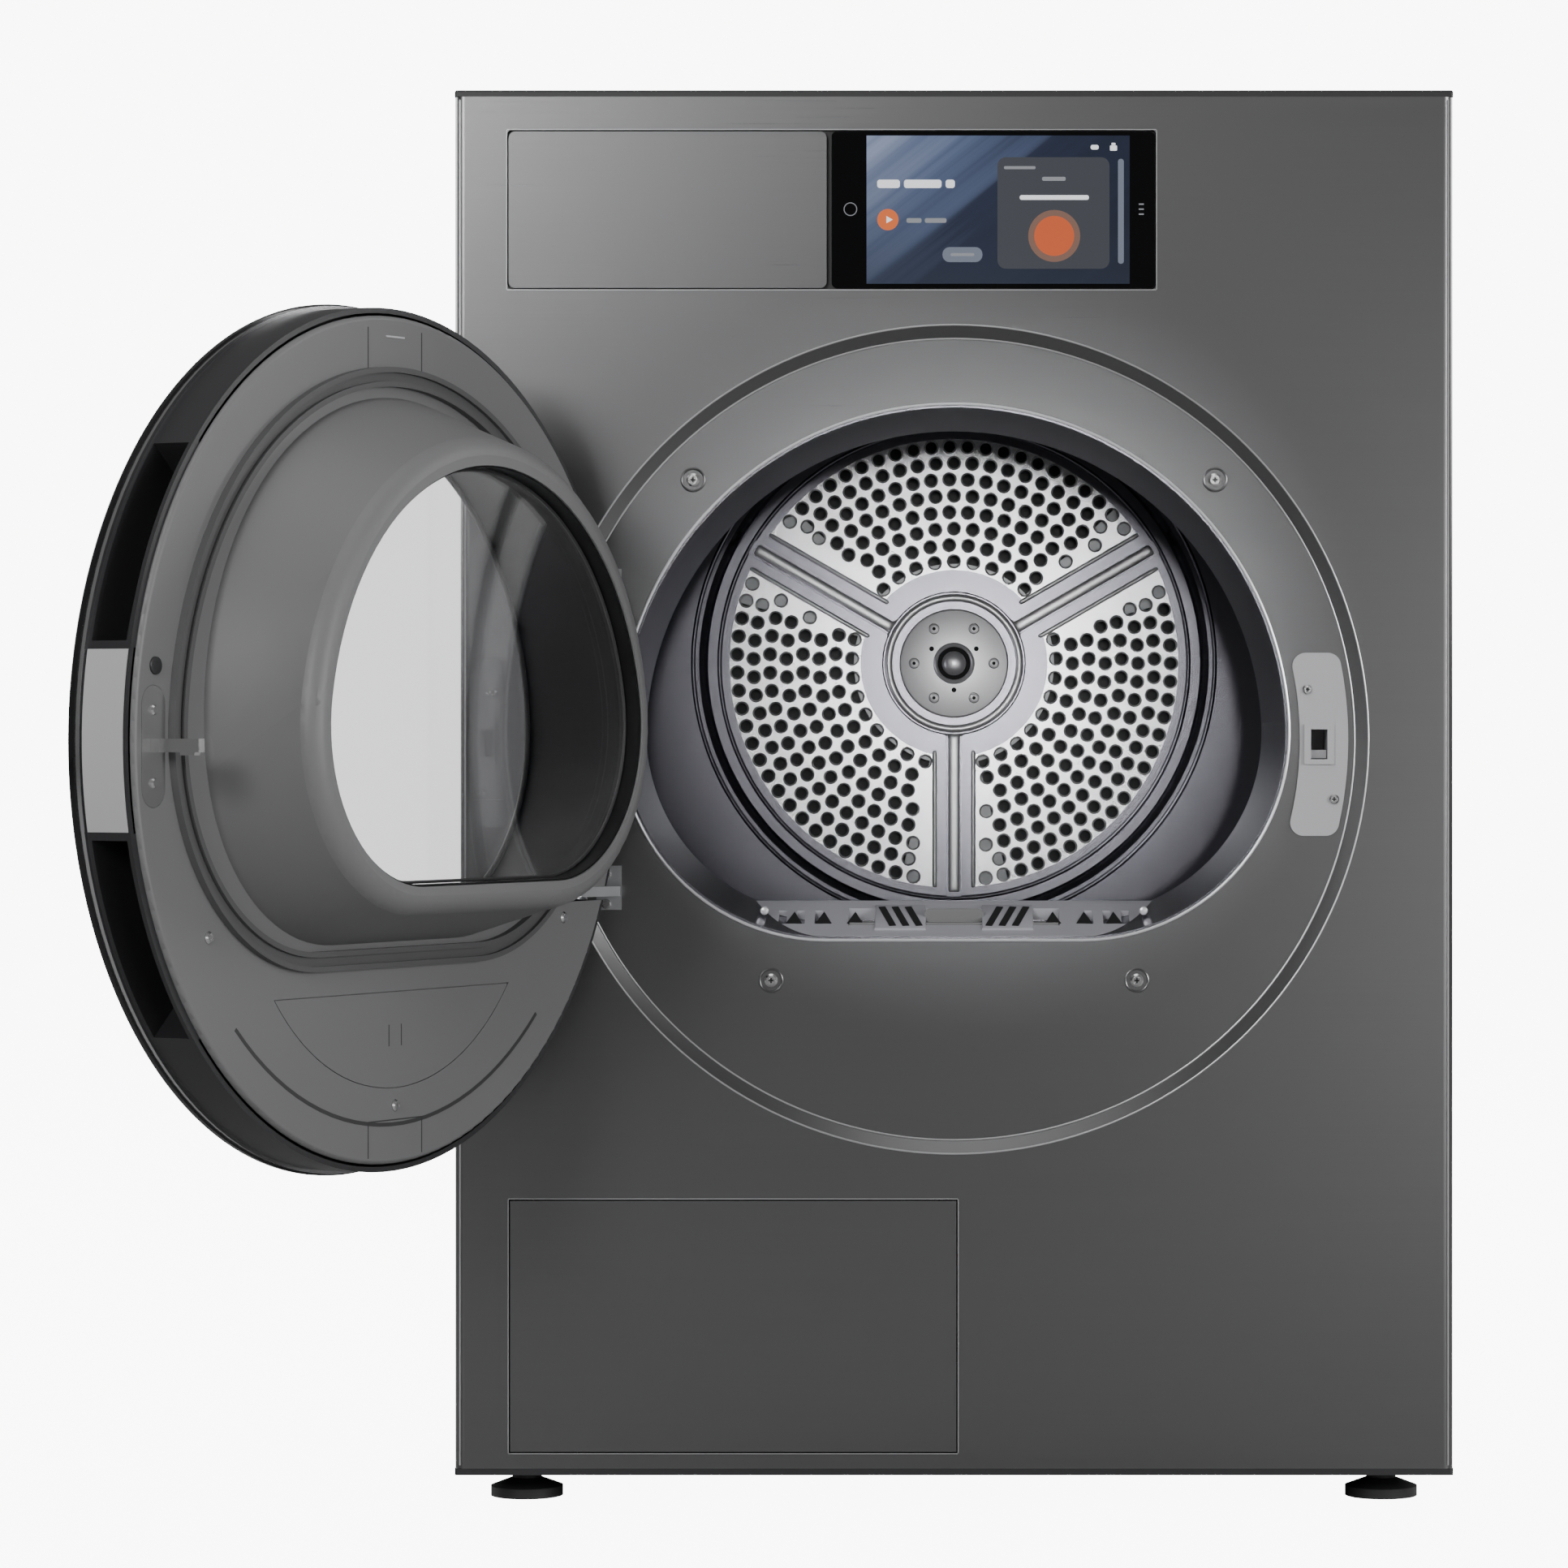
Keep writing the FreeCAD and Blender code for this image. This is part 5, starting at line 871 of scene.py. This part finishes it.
def buildOpening():
    # a bead along the opening's edge in the lighter steel, a painted highlight on that edge
    finish(dBead("openingBead", door["opening"], 0.0002, frontY + 0.0048, 0.0009), "cabinet",
           finishes["bright"])
    marks, raised = [], []
    for way in (-1, 1):
        for x in lip["triangles"]:
            free()
            bpy.ops.mesh.primitive_cylinder_add(vertices=3, radius=lip["triangleRadius"], depth=0.0008)
            mark = bpy.context.object
            mark.data.transform(Matrix.Diagonal((1.0, lip["triangleLong"], 1.0, 1.0)))
            marks.append(onLip(mark, way * x, lip["triangleAt"]))
        for x in lip["slots"]:
            slot = plate("slot", -lip["slotHalf"], lip["slotHalf"], -lip["slotLong"] / 2, lip["slotLong"] / 2,
                         0.0009, 0.0014)
            marks.append(onLip(slot, way * x, lip["slotMiddle"], way * math.radians(-lip["lean"])))
        free()
        bpy.ops.mesh.primitive_cube_add(size=1, location=(0, 0, 0.0002), scale=lip["padSize"])
        block = bpy.context.object
        bpy.ops.object.transform_apply(location=True, rotation=True, scale=True)
        softenEdges(block, lambda e: all(v.co.z > 0 for v in e.verts), 0.0007)
        raised.append(onLip(block, way * lip["padMiddle"], lip["slotMiddle"]))
    finish(merged(raised, "lipPads"), "cabinet", finishes["lip"])
    finish(merged(marks, "lipMarks"), "cabinet", finishes["shade"])
    x, z = lip["screw"]
    screws = [disc("lipScrew", way * x, z, lip["screwRadius"], frontY + 0.030, frontY + 0.036, sides=16,
                   edge=0.0009) for way in (-1, 1)]
    finish(merged(screws, "lipScrews"), "cabinet", finishes["bright"])


# screen: thin lit pieces, placed in mm from the screen's lower left corner
glassLow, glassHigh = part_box("display_glass")
layerStep = 0.00012
# name: (left, right, low, high, layer, finish, corner) and (across, up, radius, layer, finish)
patches = {
    "screenCard": (78.6, 145.9, 9.0, 76.0, 2, "card", 5.0),
    "startPill": (45.6, 69.6, 13.0, 22.0, 2, "pill", 4.2),
    "titleBarA": (6.4, 20.0, 57.5, 62.5, 2, "ink", 1.6),
    "titleBarB": (22.5, 45.0, 57.5, 62.5, 2, "ink", 1.6),
    "titleBarC": (47.5, 53.0, 57.5, 62.5, 2, "ink", 1.6),
    "stepBarA": (24.0, 33.0, 36.6, 39.4, 2, "dimInk", 1.0),
    "stepBarB": (35.0, 48.0, 36.6, 39.4, 2, "dimInk", 1.0),
    "pillBar": (50.5, 64.7, 16.6, 18.4, 3, "dimInk", 0.8),
    "cardTag": (82.5, 101.5, 68.8, 70.6, 3, "dimInk", 0.8),
    "cardBarA": (105.4, 119.6, 61.8, 64.2, 3, "dimInk", 1.0),
    "cardBarB": (92.0, 133.5, 50.4, 53.2, 3, "ink", 1.2),
    "scrollTrack": (151.0, 154.5, 12.0, 75.0, 2, "pill", 1.6),
    "netIcon": (134.6, 139.4, 80.6, 83.4, 2, "ink", 1.2),
    "lockIcon": (146.2, 150.4, 79.9, 83.1, 2, "ink", 0.6),
    "lockBow": (147.1, 149.5, 83.3, 84.6, 2, "ink", 0.5),
}
dots = {"cardGlow": (112.7, 28.7, 15.6, 3, "glowRing"), "cardDial": (112.7, 28.7, 12.0, 4, "glow"),
        "playButton": (12.8, 38.5, 6.4, 2, "orange")}


marksBeside = {"height": 0.0448, "ringAway": 0.0097, "ringRadius": 0.0038, "ringThick": 0.00025,
               "barFrom": 0.0055, "barTo": 0.0085, "barStep": 0.003, "barHalf": 0.0004}


def layerAt(layer):
    front = glassLow.y - layerStep * layer
    return front, front + layerStep * 0.9


def fromCorner(across, up):
    return screenLow.x + across / 1000, screenLow.z + up / 1000


def buildScreen():
    base = plate("screenFace", screenLow.x, screenHigh.x, *layerAt(1), screenLow.z, screenHigh.z)
    finish(base, "cabinet", finishes["sky"])
    for name, (x0, x1, z0, z1, layer, material, corner) in patches.items():
        (left, low), (right, high) = fromCorner(x0, z0), fromCorner(x1, z1)
        patch = plate(name, left, right, *layerAt(layer), low, high, corner / 1000)
        finish(patch, "cabinet", finishes[material])
    for name, (across, up, radius, layer, material) in dots.items():
        dot = disc(name, *fromCorner(across, up), radius / 1000, *layerAt(layer), sides=64)
        finish(dot, "cabinet", finishes[material])
    x, z = fromCorner(dots["playButton"][0] + 0.4, dots["playButton"][1])
    arrow = disc("playArrow", 0, 0, 0.0025, *layerAt(3), sides=3)
    arrow.data.transform(Matrix.Translation(Vector((x, 0, z))) @ Matrix.Rotation(math.radians(90), 4, "Y"))
    finish(arrow, "cabinet", finishes["ink"])


def buildScreenMarks():
    # a ring and three short bars on the black glass beside the screen
    m = marksBeside
    middle = screenLow.z + m["height"]
    ring = hoop("powerRing", screenLow.x - m["ringAway"], middle, glassLow.y, m["ringRadius"],
                m["ringThick"], 32, 6)
    finish(ring, "cabinet", finishes["dimInk"])
    menu = []
    for way in (-1, 0, 1):
        z = middle + way * m["barStep"]
        menu.append(plate("menuBar", screenHigh.x + m["barFrom"], screenHigh.x + m["barTo"],
                          glassLow.y - layerStep, glassLow.y, z - m["barHalf"], z + m["barHalf"]))
    finish(merged(menu, "menuBars"), "cabinet", finishes["dimInk"])


# screws, dimples and back
fixings = {"front": ((-0.157, 0.156), (0.157, 0.156), (-0.110, -0.145), (0.110, -0.145)),
           "strike": ((0.2125, 0.490), (0.2285, 0.424)), "sunk": 0.005, "drive": 0.0016, "smallDrive": 0.0012,
           "seatRadius": 0.0068, "seatThick": 0.0007,
           "backZ": (0.06, 0.24, 0.43, 0.62, 0.80), "backX": 0.288, "topX": (-0.2, 0.0, 0.2), "topZ": 0.838,
           "backRadius": 0.0042, "backHigh": 0.0018, "backSoft": 0.0007}


def recess(name, x, z, y, size):
    # a small cross-shaped drive in a screw head
    thin, y0, y1 = size * 0.3, y - 0.00015, y + 0.0006
    return [plate(name, x - size, x + size, y0, y1, z - thin, z + thin),
            plate(name, x - thin, x + thin, y0, y1, z - size, z + size)]


def buildFixings():
    floorY = frontY + fixings["sunk"]
    crosses, seats = [], []
    for x, z in fixings["front"]:
        crosses += recess("drive", x, ringZ + z, floorY - 0.002, fixings["drive"])
        seats.append(hoop("dimpleRing", x, ringZ + z, floorY - 0.0001, fixings["seatRadius"],
                          fixings["seatThick"], around=40))
    for x, z in fixings["strike"]:
        crosses += recess("drive", x, z, floorY - 0.004, fixings["smallDrive"])
    finish(merged(crosses, "screwDrives"), "cabinet", finishes["shade"])
    finish(merged(seats, "screwDimples"), "cabinet", finishes["front"])


def buildBackScrews():
    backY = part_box("back_panel")[1].y
    headY = backY + fixings["backHigh"]
    places = [(way * fixings["backX"], z) for way in (-1, 1) for z in fixings["backZ"]]
    places += [(x, fixings["topZ"]) for x in fixings["topX"]]
    rear = merged([disc("backScrew", x, z, fixings["backRadius"], backY, headY, sides=20) for x, z in places],
                  "backScrews")
    softenEdges(rear, frontEdge(headY), fixings["backSoft"])
    finish(rear, "cabinet", finishes["screw"])


# painted highlights: light lines and beads standing in for the lit folded edges of the front
edges = {"width": 0.0005, "gap": 0.0009, "proud": 0.0001, "deep": 0.001, "ringOut": 0.249, "ringIn": 0.241,
         "ringDeep": 0.0048, "bead": 0.0006, "sideIn": 0.0032, "sideHalf": 0.0004, "sideEnd": 0.002}


def highlightLines(name, low, high):
    # thin light lines round a panel's gap, painted highlights of its edges
    y0, y1, g, w = frontY - edges["proud"], frontY + edges["deep"], edges["gap"], edges["width"]
    lines = [plate(name, low.x - g, high.x + g, y0, y1, z, z + w) for z in (low.z - g - w, high.z + g)]
    lines += [plate(name, x, x + w, y0, y1, low.z - g, high.z + g) for x in (low.x - g - w, high.x + g)]
    return finish(merged(lines, name), "cabinet", finishes["edge"])


def buildEdgeHighlights():
    highlightLines("flapEdges", *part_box("access_flap"))
    recessLow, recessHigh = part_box("tank_front")
    highlightLines("recessRim", Vector((recessLow.x, 0, recessLow.z)), Vector((glassHigh.x, 0, recessHigh.z)))
    rings = [hoop("ringBead", 0, ringZ, frontY + 0.0002, edges["ringOut"], edges["bead"], 192),
             hoop("ringBead", 0, ringZ, frontY + edges["ringDeep"], edges["ringIn"], edges["bead"], 192)]
    finish(merged(rings, "ringEdges"), "cabinet", finishes["edge"])
    sides = [plate("side", x - edges["sideHalf"], x + edges["sideHalf"], frontY - edges["proud"],
                   frontY + edges["deep"], cabinetLow.z + edges["sideEnd"], cabinetHigh.z - edges["sideEnd"])
             for x in (cabinetLow.x + edges["sideIn"], cabinetHigh.x - edges["sideIn"])]
    finish(merged(sides, "sideEdges"), "cabinet", finishes["edge"])


buildDoor()
buildLinerSeams()
print("door ready")
buildGrilleRims()
buildStar()
buildHub()
print("drum back ready")
buildOpening()
buildScreen()
buildScreenMarks()
print("opening and screen ready")
buildFixings()
buildBackScrews()
buildEdgeHighlights()
print("fixings and edges ready")
